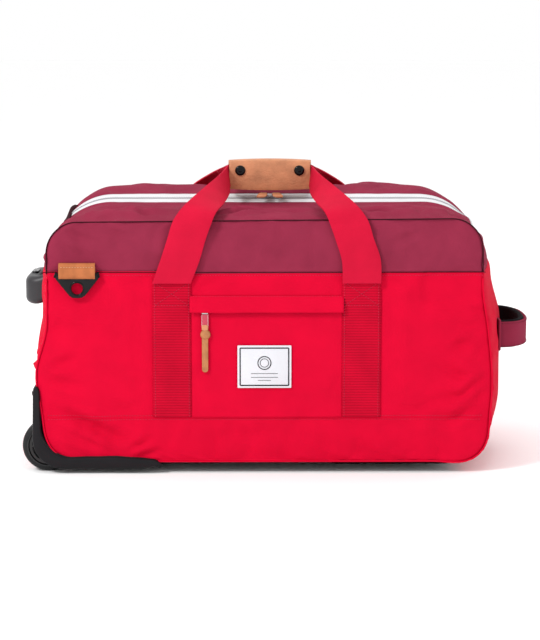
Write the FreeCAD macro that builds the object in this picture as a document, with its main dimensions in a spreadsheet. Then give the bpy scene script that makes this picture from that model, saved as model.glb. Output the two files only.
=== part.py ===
import FreeCAD, Part
import math
import os
import re

import Sketcher

# Rolling duffel bag.  +Z up, millimetres, the floor at z = 0.  The wheels and the
# trolley are at the -X end, the front pocket faces -Y, and the grab handle is at
# the +X end.  Every x below is measured from the bag's own middle plane, which
# lies at mid_x, so that the origin is the centre of the whole box.

SIZES = {
    "mid_x": -19,
    # fabric body
    "face_y": 165, "skin": 3, "base_z": 16, "seam_z": 336, "crown_z": 348,
    "left_seam": 288, "left_bulge": 303, "left_mid": 308,
    "right_seam": 288, "right_bulge": 312, "right_mid": 322,
    "shoulder_y": 90, "ridge_y": 20, "shoulder_z": 343,
    "top_round": 42, "shoulder_round": 85, "ridge_round": 100, "low_round": 66,
    "colour_z": 266, "lower_seam_z": 75, "fit_gap": 0.4,
    # top zip
    "tape_half": 16, "chain_half": 3.2, "chain_proud": 1.2, "slider_x": 8,
    "slider_long": 12, "slider_wide": 9, "slider_tall": 4.4, "pull_long": 26,
    "pull_wide": 8, "pull_thick": 2,
    # front pocket
    "pocket_half": 94, "pocket_zip_z": 214, "flap_top_z": 236, "pocket_zip_wide": 18,
    "pocket_slider_x": -77, "label_wide": 70, "label_tall": 56, "label_z": 143,
    "tag_long": 76,
    # webbing and carrying grip
    "web_wide": 50, "web_thick": 3, "web_x": 123, "web_top_z": 256,
    "grip_x": 8, "grip_long": 112, "grip_deep": 30, "grip_low_z": 361.5, "grip_top_z": 399,
    "leather": 2.3, "flap_long": 96, "snap_x": 40, "snap_z": 387, "snap_r": 5.5,
    # shoulder-strap ring plates
    "ring_x": 242, "ring_wide": 58, "ring_top_z": 263, "ring_low_z": 233,
    "ring_hole_z": 245.3, "ring_hole_r": 7.6, "ring_thick": 3, "ring_y": 168.8,
    "patch_wide": 52, "patch_low_z": 264.8, "patch_top_z": 277,
    # grab handle at the +X end
    "pad_out": 361, "pad_half": 78, "pad_tall": 36, "pad_z": 171, "pad_thick": 4.5,
    "lining_thick": 3.5, "pad_round": 26, "pad_pivot": 326,
    # wheels and their guards
    "wheel_x": -285, "wheel_r": 34, "wheel_y": 137, "wheel_wide": 26, "tread": 9,
    "axle_r": 4, "bearing_r": 8, "cup_r": 40.5, "cup_wall": 3.5,
    "cup_half": 19.5, "guard_out": 304, "guard_top_z": 117, "guard_low_z": 6,
    "guard_tip": 134, "guard_y": 168, "guard_round": 40,
    # skids under the +X end
    "board_long": 430, "board_deep": 300, "board_round": 20, "board_thick": 3,
    "skid_x": 170, "skid_long": 160, "skid_wide": 24, "skid_y": 95,
    # trolley
    "tube_x": -280, "tube_y": 50, "tube_low_z": 44, "tray_floor_z": 206,
    "tray_back": 268, "tray_half": 72, "tray_wall": 3,
    "outer_r": 8.5, "first_r": 7.1, "second_r": 5.8, "third_r": 4.5, "tube_wall": 0.9,
    "first_top_z": 209.5, "second_top_z": 211.5,
    "handle_out": 324, "handle_half": 62, "handle_low_z": 214, "handle_top_z": 252,
    "handle_bar": 22, "handle_leg": 22, "button_long": 34, "button_wide": 9,
}

doc = FreeCAD.newDocument("rolling_duffel")
sheet = doc.addObject("Spreadsheet::Sheet", "sizes")
parts = []


def fill_sheet():
    """One row for each driving size: its name in A, its value in B."""
    for row, (alias, value) in enumerate(SIZES.items(), start=1):
        sheet.set(f"A{row}", alias)
        sheet.set(f"B{row}", str(value))
        sheet.setAlias(f"B{row}", alias)
    doc.recompute()


def linked(text):
    """The expression with each size's name pointed at the sheet."""
    return re.sub(r"[a-z][a-z_]*", lambda found: "sizes." + found.group(0), str(text))


def value(text):
    """The number that an expression of sheet sizes gives now."""
    return float(sheet.evalExpression(linked(text)))


def bind(obj, **settings):
    """Bind properties of an object to expressions; a double underscore stands for a dot."""
    for name, text in settings.items():
        obj.setExpression(name.replace("__", "."), linked(text))


def place(obj, x, y, z, turn=None):
    """Place an object at expressions measured from the bag's middle plane."""
    if turn:
        obj.Placement = FreeCAD.Placement(FreeCAD.Vector(), FreeCAD.Rotation(*turn))
    bind(obj, Placement__Base__x=f"mid_x + ({x})", Placement__Base__y=y,
         Placement__Base__z=z)
    return obj


def keep(obj, label):
    """Name an object as a sub-part that is written out."""
    obj.Label = label
    parts.append(obj)
    return obj


# ---------------------------------------------------------------- plain makers

FAR = 400  # well outside the bag on every side
ALONG_Y = (FreeCAD.Vector(1, 0, 0), -90)


def box(x_low, x_high, y_low, y_high, z_low, z_high):
    """A Part::Box between expressions."""
    obj = doc.addObject("Part::Box", "box")
    bind(obj, Length=f"({x_high}) - ({x_low})", Width=f"({y_high}) - ({y_low})",
         Height=f"({z_high}) - ({z_low})")
    return place(obj, x_low, y_low, z_low)


def rod(radius, length, x, y, z, turn=None):
    """A Part::Cylinder that starts at a point and runs up, or along its turn."""
    obj = doc.addObject("Part::Cylinder", "rod")
    bind(obj, Radius=radius, Height=length)
    return place(obj, x, y, z, turn)


def cross_rod(radius, y_low, y_high, x, z):
    """A cylinder along Y between two expressions."""
    return rod(radius, f"({y_high}) - ({y_low})", x, y_low, z, ALONG_Y)


def fuse(*shapes):
    obj = doc.addObject("Part::MultiFuse", "fuse")
    obj.Shapes = list(shapes)
    obj.Refine = True
    return obj


def common(*shapes):
    obj = doc.addObject("Part::MultiCommon", "common")
    obj.Shapes = list(shapes)
    return obj


def cut(base, *tools):
    obj = doc.addObject("Part::Cut", "cut")
    obj.Base = base
    obj.Tool = tools[0] if len(tools) == 1 else fuse(*tools)
    return obj


def group(*shapes):
    """Several like solids in one sub-part."""
    obj = doc.addObject("Part::Compound", "group")
    obj.Links = list(shapes)
    return obj


# ---------------------------------------------------------------- sketched makers

def rounded_rectangle(sketch, width, height, radius):
    """A rounded rectangle about the sketch's origin, driven by three expressions."""
    w, d, r = value(width) / 2, value(height) / 2, value(radius)
    corners = [(w - r, d - r), (r - w, d - r), (r - w, r - d), (w - r, r - d)]
    quarter = math.pi / 2
    normal = FreeCAD.Vector(0, 0, 1)
    starts = [(w, d - r), (w - r, d), (r - w, d), (-w, d - r),
              (-w, r - d), (r - w, -d), (w - r, -d), (w, r - d)]
    for i, (x, y) in enumerate(corners):
        circle = Part.Circle(FreeCAD.Vector(x, y, 0), normal, r)
        sketch.addGeometry(Part.ArcOfCircle(circle, i * quarter, (i + 1) * quarter))
    for i in range(4):
        a, b = starts[2 * i + 1], starts[(2 * i + 2) % 8]
        sketch.addGeometry(Part.LineSegment(FreeCAD.Vector(*a, 0), FreeCAD.Vector(*b, 0)))
    rule = constraint_adder(sketch)
    for i in range(4):
        rule("Tangent", i, 2, 4 + i, 1)
        rule("Tangent", 4 + i, 2, (i + 1) % 4, 1)
    for i in range(3):
        rule("Equal", i, i + 1)
    for line, kind in ((4, "Horizontal"), (5, "Vertical"), (6, "Horizontal")):
        rule(kind, line)
    rule("Symmetric", 0, 3, 2, 3, -1, 1)
    named = (("DistanceX", "width", (5, 1, 7, 2), 2 * w),
             ("DistanceY", "height", (6, 1, 4, 2), 2 * d))
    for kind, name, ends, size in named:
        index = rule(kind, *ends, size)
        sketch.renameConstraint(index, name)
    sketch.renameConstraint(rule("Radius", 0, r), "radius")
    bind(sketch, Constraints__width=width, Constraints__height=height,
         Constraints__radius=radius)


def constraint_adder(sketch):
    """A short way to add one constraint to a sketch."""
    return lambda *terms: sketch.addConstraint(Sketcher.Constraint(*terms))


def new_body(plane):
    """A body and a sketch on one of its own origin planes."""
    body = doc.addObject("PartDesign::Body", "body")
    sketch = body.newObject("Sketcher::SketchObject", "outline")
    face = [item for item in body.Origin.OriginFeatures if item.Role == plane][0]
    sketch.AttachmentSupport = [(face, "")]
    sketch.MapMode = "FlatFace"
    return body, sketch


def pad(body, sketch, length):
    """A pad to both sides of the sketch."""
    feature = body.newObject("PartDesign::Pad", "pad")
    feature.Profile = sketch
    feature.Midplane = True
    bind(feature, Length=length)
    sketch.Visibility = False
    return feature


def slab(plane, width, height, radius, thick, x, y, z):
    """A rounded plate about a centre point."""
    body, sketch = new_body(plane)
    rounded_rectangle(sketch, width, height, radius)
    pad(body, sketch, thick)
    return place(body, x, y, z)


def front_slab(side, x, z, width, height, radius, y_in, thick):
    """A rounded plate on the front (-1) or rear (1) face, standing out from y_in."""
    return slab("XZ_Plane", width, height, radius, thick, x,
                f"{side} * (({y_in}) + ({thick}) / 2)", z)


def polygon(sketch, points):
    """A closed outline of straight edges through expression pairs."""
    corners = [FreeCAD.Vector(value(a), value(b), 0) for a, b in points]
    for a, b in zip(corners, corners[1:] + corners[:1]):
        sketch.addGeometry(Part.LineSegment(a, b))
    rule = constraint_adder(sketch)
    for i in range(len(corners)):
        rule("Coincident", i, 2, (i + 1) % len(corners), 1)


def turned(profile, x, y, z):
    """A body turned about the Y axis from (radius, along Y) expression pairs."""
    body, sketch = new_body("XY_Plane")
    polygon(sketch, profile)
    feature = body.newObject("PartDesign::Revolution", "turning")
    feature.Profile = sketch
    feature.ReferenceAxis = (sketch, ["V_Axis"])
    feature.Angle = 360
    return place(body, x, y, z)


# ---------------------------------------------------------------- fabric body

def section(y, left, right, low, high, top_round, low_round, grow):
    """One upright section of the bag: a rectangle with round corners, across Y."""
    left, right = -value(left) - grow, value(right) + grow
    low, high = value(low) - grow, value(high) + grow
    top, bottom = value(top_round) + grow, value(low_round) + grow
    half = math.sqrt(0.5)
    corners = [(right - bottom, low + bottom, bottom, 1, -1),
               (right - top, high - top, top, 1, 1),
               (left + top, high - top, top, -1, 1),
               (left + bottom, low + bottom, bottom, -1, -1)]
    ends = []
    for x, z, r, side, up in corners:
        across, upright = (x + side * r, z), (x, z + up * r)
        middle = (x + side * r * half, z + up * r * half)
        ends.append((upright, middle, across) if side * up < 0 else (across, middle, upright))
    sketch = doc.addObject("Sketcher::SketchObject", "section")
    flat = [[FreeCAD.Vector(a, b, 0) for a, b in corner] for corner in ends]
    for here, after in zip(flat, flat[1:] + flat[:1]):
        sketch.addGeometry(Part.ArcOfCircle(*here))
        sketch.addGeometry(Part.LineSegment(here[2], after[0]))
    upright = FreeCAD.Rotation(FreeCAD.Vector(1, 0, 0), 90)
    sketch.Placement = FreeCAD.Placement(FreeCAD.Vector(), upright)
    return place(sketch, 0, y, 0)


def loft(sections):
    obj = doc.addObject("Part::Loft", "loft")
    obj.Sections = sections
    obj.Solid = True
    obj.Ruled = True
    return obj


def bag_hull(grow):
    """The closed form of the gusset, from panel seam to panel seam."""
    seam = ("left_seam", "right_seam", "base_z", "seam_z", "top_round")
    bulge = ("left_bulge", "right_bulge", "base_z", "shoulder_z", "shoulder_round")
    ridge = ("left_mid", "right_mid", "base_z", "crown_z", "ridge_round")
    stations = [("skin - face_y", seam), ("-shoulder_y", bulge), ("-ridge_y", ridge),
                ("ridge_y", ridge), ("shoulder_y", bulge), ("face_y - skin", seam)]
    return loft([section(y, *shape, "low_round", grow) for y, shape in stations])


def seam_prism(y_low, y_high, grow):
    """The front outline of the bag as a straight block along Y."""
    seam = ("left_seam", "right_seam", "base_z", "seam_z", "top_round", "low_round")
    return loft([section(y, *seam, grow) for y in (y_low, y_high)])


def wheel_cups(grow):
    """The two round wheel wells, a little larger by grow."""
    radius, half = f"cup_r + {grow}", f"cup_half + {grow}"
    return [cross_rod(radius, f"{side} * wheel_y - ({half})", f"{side} * wheel_y + ({half})",
                      "wheel_x", "wheel_r") for side in (-1, 1)]


def tray_space(grow):
    """The block at the -X end that the trolley's tray takes up."""
    return box(-FAR, f"({grow}) - tray_back", f"-tray_half - ({grow})",
               f"tray_half + ({grow})", f"tray_floor_z - ({grow})", FAR)


def make_gusset():
    """Ends, base, and the two top panels with the zip between them."""
    shell = cut(bag_hull(0), bag_hull(-value("skin")))
    cups = fuse(*wheel_cups("fit_gap"))
    tray = tray_space("tray_wall + fit_gap")
    end = "left_mid - low_round"
    low = box(-FAR, f"-({end})", -FAR, FAR, "0", "colour_z")
    keep(cut(common(shell, low), cups, tray), "left_end_panel")
    keep(common(shell, box("right_mid - low_round", FAR, -FAR, FAR, "0", "colour_z")),
         "right_end_panel")
    base = box(f"-({end})", "right_mid - low_round", -FAR, FAR, "0", "low_round")
    keep(cut(common(shell, base), cups), "base_panel")
    for side, name in ((-1, "front"), (1, "rear")):
        near, far = sorted(("tape_half", FAR), key=lambda t: side * value(t))
        rim = box(-FAR, FAR, f"{side} * {near}", f"{side} * {far}", "colour_z", FAR)
        keep(cut(common(shell, rim), tray_space("tray_wall + fit_gap")),
             f"top_panel_{name}")
        near, far = sorted(("chain_half", "tape_half"), key=lambda t: side * value(t))
        tape = box(-FAR, FAR, f"{side} * {near}", f"{side} * {far}", "colour_z", FAR)
        keep(cut(common(shell, tape), tray_space("tray_wall + fit_gap")),
             f"zip_tape_{name}")
    make_chain()


def make_chain():
    """The zip's coil, standing a little proud along the ridge."""
    ridge = ("left_mid", "right_mid", "base_z", "crown_z", "ridge_round", "low_round")
    ends = ("-chain_half", "chain_half")
    outer = loft([section(y, *ridge, value("chain_proud")) for y in ends])
    inner = loft([section(y, *ridge, -value("skin") / 2) for y in ends])
    above = box(-FAR, FAR, "-20", "20", "colour_z", FAR)
    keep(cut(common(cut(outer, inner), above), tray_space("tray_wall + fit_gap")),
         "zip_chain")


def make_faces():
    """Front and rear panels, split at the colour seam."""
    for side, name in ((-1, "front"), (1, "rear")):
        y_low, y_high = sorted((side * value("face_y"), side * value("face_y - skin")))
        for half, z_low, z_high in (("upper", "colour_z", FAR), ("lower", "0", "colour_z")):
            whole = seam_prism(y_low, y_high, 0)
            keep(common(whole, box(-FAR, FAR, -FAR, FAR, z_low, z_high)),
                 f"{name}_panel_{half}")


def make_base():
    """Stiffening board inside and two skids with their screws below."""
    inside = "base_z + skin"
    keep(slab("XY_Plane", "board_long", "board_deep", "board_round", "board_thick", "5", "0",
              f"{inside} + fit_gap + board_thick / 2"), "base_board")
    screws = []
    for side, name in ((-1, "front"), (1, "rear")):
        y = f"{side} * skid_y"
        skid = slab("XY_Plane", "skid_long", "skid_wide", "skid_wide / 2 - 0.1",
                    "base_z - 0.1", "skid_x", y, "(base_z - 0.1) / 2")
        spots = [f"skid_x + {step} * skid_long / 3" for step in (-1, 1)]
        holes = [rod("4.2", "6", x, y, "-1") for x in spots]
        keep(cut(skid, *holes), f"skid_{name}")
        screws += [rod("4", "3.5", x, y, "1.5") for x in spots]
    keep(group(*screws), "skid_screws")


# ---------------------------------------------------------------- pocket and zips

def make_pocket():
    """Front pocket: panel, zip under a flap, slider with a hanging pull, label."""
    zip_low = "(pocket_zip_z - pocket_zip_wide / 2)"
    tall = f"{zip_low} - lower_seam_z"
    keep(front_slab(-1, "0", f"lower_seam_z + ({tall}) / 2", "2 * pocket_half", tall,
                    "4", "face_y", "skin"), "pocket_panel")
    keep(front_slab(-1, "0", "pocket_zip_z + fit_gap", "2 * pocket_half",
                    "pocket_zip_wide - 0.1", "1", "face_y", "1.5"), "pocket_zip_tape")
    cover = box("-pocket_half", "pocket_half", "-face_y - 7", "-face_y - 5.4",
                "pocket_zip_z", "flap_top_z")
    root = box("-pocket_half", "pocket_half", "-face_y - 7", "-face_y",
               "pocket_zip_z + 10", "flap_top_z")
    keep(fuse(cover, root), "pocket_flap")
    keep(slab("XZ_Plane", "9", "8", "2", "3", "pocket_slider_x", "-face_y - 3.6",
              "pocket_zip_z"), "pocket_slider")
    eye_z = "pocket_zip_z - 6"
    tape = slab("XZ_Plane", "9", "14", "1.5", "2", "pocket_slider_x", "-face_y - 5.6",
                f"{eye_z} - 6")
    keep(tape, "pocket_pull_tape")
    keep(slab("XZ_Plane", "9", "tag_long - 18", "4", "2.4", "pocket_slider_x",
              "-face_y - 5.6", f"{eye_z} - 14 - (tag_long - 18) / 2"), "pocket_pull_tail")
    keep(front_slab(-1, "0", "label_z", "label_wide", "label_tall", "1",
                    "face_y + skin", "0.8"), "label")


def make_top_sliders():
    """Two sliders that meet on the ridge, each with a leather pull to the front."""
    low = "(crown_z + chain_proud + fit_gap)"
    for side, name in ((-1, "left"), (1, "right")):
        x = f"slider_x + {side} * (slider_long / 2 + 1)"
        keep(slab("XY_Plane", "slider_long", "slider_wide", "2.5", "slider_tall", x, "0",
                  f"{low} + slider_tall / 2"), f"zip_slider_{name}")
        keep(slab("XY_Plane", "pull_wide", "pull_long", "3.9", "pull_thick", x,
                  "-slider_wide / 2 - fit_gap - pull_long / 2", f"{low} + 2"),
             f"zip_pull_{name}")


# ---------------------------------------------------------------- webbing and grip

def make_sewn_webbing():
    """Four lengths of webbing stitched to the faces, under the carrying straps."""
    for side, face in ((-1, "front"), (1, "rear")):
        for hand, name in ((-1, "left"), (1, "right")):
            tall = "web_top_z - lower_seam_z - 1"
            keep(front_slab(side, f"{hand} * web_x + 3", f"web_top_z - ({tall}) / 2",
                            "web_wide", tall, "1", "face_y", "web_thick"),
                 f"sewn_webbing_{face}_{name}")


def strap_edges(side):
    """Outer and inner edge points of half a strap, from its patch to the grip."""
    half, patch = value("web_wide / 2"), value("web_x")
    face, top = value("face_y + web_thick + 1"), value("web_top_z + 1")
    entry = value("grip_long / 2")
    low, high = value("grip_low_z + 4.5"), value("grip_top_z - 5")
    return [((-patch - half + 8, side * face, top), (half - patch + 6, side * face, top)),
            ((-131, side * (face + 2), 284), (-90, side * (face + 2), 284)),
            ((-120, side * (face + 2), 315), (-79, side * (face + 2), 317)),
            ((-109, side * (face + 1), 339), (-69, side * (face + 1), 339)),
            ((-99, side * 153, 356), (-60, side * 151, 348)),
            ((-77, side * 96, 378), (-54, side * 86, 357)),
            ((-entry - 6, side * 8, high), (-entry - 6, side * 8, low)),
            ((-entry + 4, side * 8, high), (-entry + 4, side * 8, low))]


def make_carry_straps():
    """The free lengths of webbing that arch up from the patches into the grip."""
    thick = 2.5
    for side, name in ((-1, "front"), (1, "rear")):
        half = [tuple(FreeCAD.Vector(*point) for point in pair) for pair in strap_edges(side)]
        mirrored = [tuple(FreeCAD.Vector(-p.x, p.y, p.z) for p in pair) for pair in half[::-1]]
        pairs = half + mirrored
        wires = []
        for i, (outer, inner) in enumerate(pairs):
            before, after = pairs[max(i - 1, 0)], pairs[min(i + 1, len(pairs) - 1)]
            run = after[0] + after[1] - before[0] - before[1]
            offset = run.cross(inner - outer).normalize() * thick
            if offset.y * side < 0:
                offset = -offset
            corners = [outer, inner, inner + offset, outer + offset]
            wires.append(Part.makePolygon(corners + corners[:1]))
        strap = doc.addObject("Part::Feature", "strap")
        strap.Shape = Part.makeLoft(wires, True, True)
        keep(place(strap, "grip_x - 3", "0", "0"), f"carry_strap_{name}")


def make_grip():
    """Leather wrap round both straps, with a front flap closed by two snaps."""
    half = "grip_long / 2"
    outer = slab("YZ_Plane", "grip_deep", "grip_top_z - grip_low_z", "5", "grip_long",
                 "grip_x", "0", "(grip_top_z + grip_low_z) / 2")
    hollow = box(f"grip_x - {half} - 1", f"grip_x + {half} + 1", "-grip_deep",
                 "grip_deep / 2 - leather", "grip_low_z + leather", "grip_top_z - leather")
    lip = box(f"grip_x - {half} - 1", f"grip_x + {half} + 1", "-grip_deep",
              "1.5 - grip_deep / 2", "0", FAR)
    keep(cut(outer, hollow, lip), "grip_wrap")
    keep(slab("XZ_Plane", "flap_long", "grip_top_z - grip_low_z - 1", "5", "leather",
              "grip_x", "-grip_deep / 2 - 0.2", "(grip_top_z + grip_low_z) / 2"),
         "grip_flap")
    caps, studs = [], []
    for side in (-1, 1):
        x = f"grip_x + {side} * snap_x"
        caps.append(cross_rod("snap_r", "-grip_deep / 2 - leather - 1.7",
                              "-grip_deep / 2 - 0.2 - leather / 2", x, "snap_z"))
        studs.append(cross_rod("snap_r - 2", "1.3 - grip_deep / 2", "-10.5", x, "snap_z"))
    keep(group(*caps), "snap_caps")
    keep(group(*studs), "snap_studs")


# ---------------------------------------------------------------- hardware

def ring_plate(side, x):
    """A triangular strap plate with side ears and a round eye."""
    body, sketch = new_body("XZ_Plane")
    drop = "ring_top_z - ring_low_z"
    ear = "ring_wide / 2"
    right = [(ear, "0"), (f"{ear}", "-6"), (f"{ear} - 3", "-9"), ("11", f"-({drop}) + 2"),
             ("6", f"-({drop})")]
    left = [(f"-({a})", b) for a, b in reversed(right)]
    polygon(sketch, right + left)
    pad(body, sketch, "ring_thick")
    place(body, x, f"{side} * ring_y", "ring_top_z")
    eye = cross_rod("ring_hole_r", f"{side} * ring_y - 5", f"{side} * ring_y + 5", x,
                    "ring_hole_z")
    return cut(body, eye)


def make_strap_rings():
    """Leather patches and ring plates: front at the -X end, rear at the +X end."""
    tall = "patch_top_z - patch_low_z"
    patches = []
    for side, name in ((-1, "front"), (1, "rear")):
        x = f"{side} * ring_x"
        patches.append(front_slab(side, x, f"patch_low_z + ({tall}) / 2", "patch_wide", tall,
                                  "2", "face_y", "4.4"))
        keep(ring_plate(side, x), f"ring_plate_{name}")
    keep(group(*patches), "ring_patches")


def handle_block(out, half, corner):
    """A rounded block in plan that reaches from inside the bag to out."""
    return slab("XY_Plane", "120", f"2 * ({half})", corner, "pad_tall", f"({out}) - 60",
                "0", "pad_z")


def make_side_handle():
    """Padded strap loop with a black lining, and its two sewn anchors."""
    lined = "pad_out - pad_thick"
    inner = f"({lined} - lining_thick)"
    layers = (("side_handle_pad", "pad_out", "pad_half", "pad_round",
               lined, "pad_half - pad_thick", "pad_round - pad_thick"),
              ("side_handle_lining", lined, "pad_half - pad_thick", "pad_round - pad_thick",
               inner, "pad_half - pad_thick - lining_thick",
               "pad_round - pad_thick - lining_thick"))
    for label, out, half, corner, in_out, in_half, in_corner in layers:
        ring = cut(handle_block(out, half, corner), handle_block(in_out, in_half, in_corner))
        behind = box("0", "pad_pivot", "-100", "100", "0", FAR)
        above = box("0", "pad_pivot + 14", "-100", "100", "pad_z + 8", FAR)
        below = box("0", "pad_pivot + 14", "-100", "100", "0", "pad_z - 8")
        keep(cut(ring, behind, above, below), label)
    anchors = [slab("YZ_Plane", "18", "32", "3", "4", "pad_pivot - 8", f"{side} * 74", "pad_z")
               for side in (-1, 1)]
    keep(group(*anchors), "side_handle_anchors")


def make_wheel(side, name):
    """Tyre, hub and bearing turn together on a fixed axle."""
    spot = ("wheel_x", f"{side} * wheel_y", "wheel_r")
    rim, half = "wheel_r - tread", "wheel_wide / 2"
    keep(turned([(rim, f"-({half})"), ("wheel_r - 3", f"-({half})"), ("wheel_r", f"4 - {half}"),
                 ("wheel_r", f"{half} - 4"), ("wheel_r - 3", half), (rim, half)], *spot),
         f"tyre_{name}")
    web, seat = "4", "bearing_r + 3"
    hub = turned([("bearing_r", f"-({half}) - 1"), (seat, f"-({half}) - 1"), (seat, f"-{web}"),
                  (f"{rim} - 4", f"-{web}"), (f"{rim} - 4", f"1 - {half}"), (rim, f"1 - {half}"),
                  (rim, f"{half} - 1"), (f"{rim} - 4", f"{half} - 1"), (f"{rim} - 4", web),
                  (seat, web), (seat, f"{half} + 1"), ("bearing_r", f"{half} + 1")], *spot)
    keep(hub, f"hub_{name}")
    bearing = turned([("axle_r + 0.08", f"-({half}) - 1"), ("bearing_r", f"-({half}) - 1"),
                      ("bearing_r", f"{half} + 1"), ("axle_r + 0.08", f"{half} + 1")], *spot)
    keep(bearing, f"bearing_{name}")


def wheel_guard(side, name):
    """Moulded corner: an arm up the end, an arm along the base and a wheel cup."""
    y_out, y_in = f"{side} * guard_y", f"{side} * (wheel_y - cup_half)"
    y_low, y_high = (y_out, y_in) if side < 0 else (y_in, y_out)
    upright_in = f"{side} * (face_y - 25)"
    arm_low, arm_high = (y_out, upright_in) if side < 0 else (upright_in, y_out)
    upright = box("-guard_out", "-left_seam + 20", arm_low, arm_high, "guard_low_z",
                  "guard_top_z")
    along = box("-guard_out", "-guard_tip", y_low, y_high, "guard_low_z", "base_z + 14")
    margin = value("fit_gap")
    hull = bag_hull(margin)
    face = seam_prism(*sorted((side * 190, side * value("face_y - 10"))), margin)
    rounding = slab("XZ_Plane", "1000", "1000", "guard_round", "1000", "500 - guard_out", "0",
                    "500 + guard_low_z")
    arms = cut(common(fuse(upright, along), rounding), hull, face)
    cup = cross_rod("cup_r", f"{side} * wheel_y - cup_half", f"{side} * wheel_y + cup_half",
                    "wheel_x", "wheel_r")
    reach = box("-guard_out", "0", -FAR, FAR, "guard_low_z", FAR)
    well = cross_rod("cup_r - cup_wall", f"{side} * wheel_y - cup_half + cup_wall",
                     f"{side} * wheel_y + cup_half - cup_wall", "wheel_x", "wheel_r")
    bore = cross_rod("axle_r", f"{side} * wheel_y - 60", f"{side} * wheel_y + 60",
                     "wheel_x", "wheel_r")
    return keep(cut(fuse(arms, common(cup, reach)), well, bore), f"wheel_guard_{name}")


def make_running_gear():
    """Both wheels, their axles and their guards."""
    axles = []
    for side, name in ((-1, "front"), (1, "rear")):
        make_wheel(side, name)
        wheel_guard(side, name)
        axles.append(cross_rod("axle_r", f"{side} * wheel_y - cup_half",
                               f"{side} * wheel_y + cup_half", "wheel_x", "wheel_r"))
    keep(group(*axles), "wheel_axles")


# ---------------------------------------------------------------- trolley

def tube_pair(radius, low, high):
    """Two upright tubes, one on each side of the trolley."""
    tubes = []
    for side in (-1, 1):
        y = f"{side} * tube_y"
        outer = rod(radius, f"({high}) - ({low})", "tube_x", y, low)
        bore = rod(f"{radius} - tube_wall", f"({high}) - ({low}) + 2", "tube_x", y,
                   f"({low}) - 1")
        tubes.append(cut(outer, bore))
    return group(*tubes)


def make_tray():
    """Moulded tray let into the end, with a hole for each tube in its floor."""
    block = common(bag_hull(0), tray_space("tray_wall"))
    holes = [rod("first_r + 0.3", "20", "tube_x", f"{side} * tube_y", "tray_floor_z - 10")
             for side in (-1, 1)]
    keep(cut(block, tray_space(0), *holes), "trolley_tray")


def make_trolley():
    """Fixed tubes, three sliding stages, the hand grip and its button."""
    make_tray()
    keep(tube_pair("outer_r", "tube_low_z", "tray_floor_z - tray_wall"), "trolley_outer_tubes")
    stages = (("first_r", "first_top_z"), ("second_r", "second_top_z"),
              ("third_r", "handle_low_z + 6"))
    for number, (radius, high) in enumerate(stages, start=1):
        keep(tube_pair(radius, "tube_low_z + 2", high), f"trolley_stage_{number}")
    foot = slab("XY_Plane", "13", "124", "5", "8", "tube_x + 5", "0", "tube_low_z - 4")
    keep(foot, "trolley_foot")
    tall, middle = "handle_top_z - handle_low_z", "(handle_top_z + handle_low_z) / 2"
    deep = "handle_out + tube_x + 8"
    whole = slab("XY_Plane", deep, "2 * handle_half", "9", tall,
                 f"-handle_out + ({deep}) / 2", "0", middle)
    gap = box("handle_bar - handle_out", "0", "handle_leg - handle_half",
              "handle_half - handle_leg", "0", FAR)
    sockets = [rod("third_r + 0.05", "6.05", "tube_x", f"{side} * tube_y", "handle_low_z")
               for side in (-1, 1)]
    button_x = "handle_bar / 2 - handle_out"
    well = slab("XY_Plane", "button_wide + 0.8", "button_long + 0.8", "4", "12", button_x,
                "0", "handle_top_z")
    keep(cut(whole, gap, *sockets, well), "trolley_grip")
    keep(slab("XY_Plane", "button_wide", "button_long", "3.8", "3.5", button_x, "0",
              "handle_top_z - 0.25"), "release_button")


def check_and_write():
    """Stop on any failed object, then write each sub-part to its own file."""
    doc.recompute()
    for obj in doc.Objects:
        if "Invalid" in obj.State or "Error" in obj.State:
            raise RuntimeError(f"{obj.Label} failed: {obj.State}")
    for obj in parts:
        if obj.Shape.isNull() or not obj.Shape.isValid() or not obj.Shape.Solids:
            raise RuntimeError(f"{obj.Label} has no valid shape")
    os.makedirs("parts", exist_ok=True)
    for obj in parts:
        obj.Shape.exportStep(f"parts/{obj.Label}.step")


fill_sheet()
make_gusset()
make_faces()
make_base()
make_pocket()
make_top_sliders()
make_sewn_webbing()
make_carry_straps()
make_grip()
make_strap_rings()
make_side_handle()
make_running_gear()
make_trolley()
check_and_write()
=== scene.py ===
import math
from contextlib import contextmanager

import bmesh
import bpy
from mathutils import Matrix, Vector, noise
from mathutils.bvhtree import BVHTree


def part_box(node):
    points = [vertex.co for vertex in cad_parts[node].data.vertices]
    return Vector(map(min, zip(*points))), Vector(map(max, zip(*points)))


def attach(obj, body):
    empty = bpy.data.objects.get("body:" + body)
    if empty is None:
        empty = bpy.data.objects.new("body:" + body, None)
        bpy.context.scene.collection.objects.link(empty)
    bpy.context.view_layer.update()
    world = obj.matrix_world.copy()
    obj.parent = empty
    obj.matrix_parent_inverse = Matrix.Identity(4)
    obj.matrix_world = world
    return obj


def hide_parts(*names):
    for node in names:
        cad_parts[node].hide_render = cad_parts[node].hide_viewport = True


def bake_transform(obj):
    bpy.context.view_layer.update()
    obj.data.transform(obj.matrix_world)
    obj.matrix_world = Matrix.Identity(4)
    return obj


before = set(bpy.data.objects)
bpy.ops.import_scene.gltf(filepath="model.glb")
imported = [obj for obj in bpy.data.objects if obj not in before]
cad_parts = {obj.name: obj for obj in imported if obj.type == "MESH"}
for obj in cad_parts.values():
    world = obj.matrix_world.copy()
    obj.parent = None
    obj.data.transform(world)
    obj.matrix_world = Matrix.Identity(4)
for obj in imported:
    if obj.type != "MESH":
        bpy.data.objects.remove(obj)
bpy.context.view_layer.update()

# ------------------------------------------------------------------ places from the frame

MM = 0.001


def in_mm(*spots):
    """Points given in millimetres, in metres."""
    return [tuple(v * MM for v in spot) for spot in spots]


def low(node):
    return Vector(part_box(node)[0])


def high(node):
    return Vector(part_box(node)[1])


def corners(node):
    """The two opposite corners of a CAD node's box."""
    return low(node), high(node)


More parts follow.
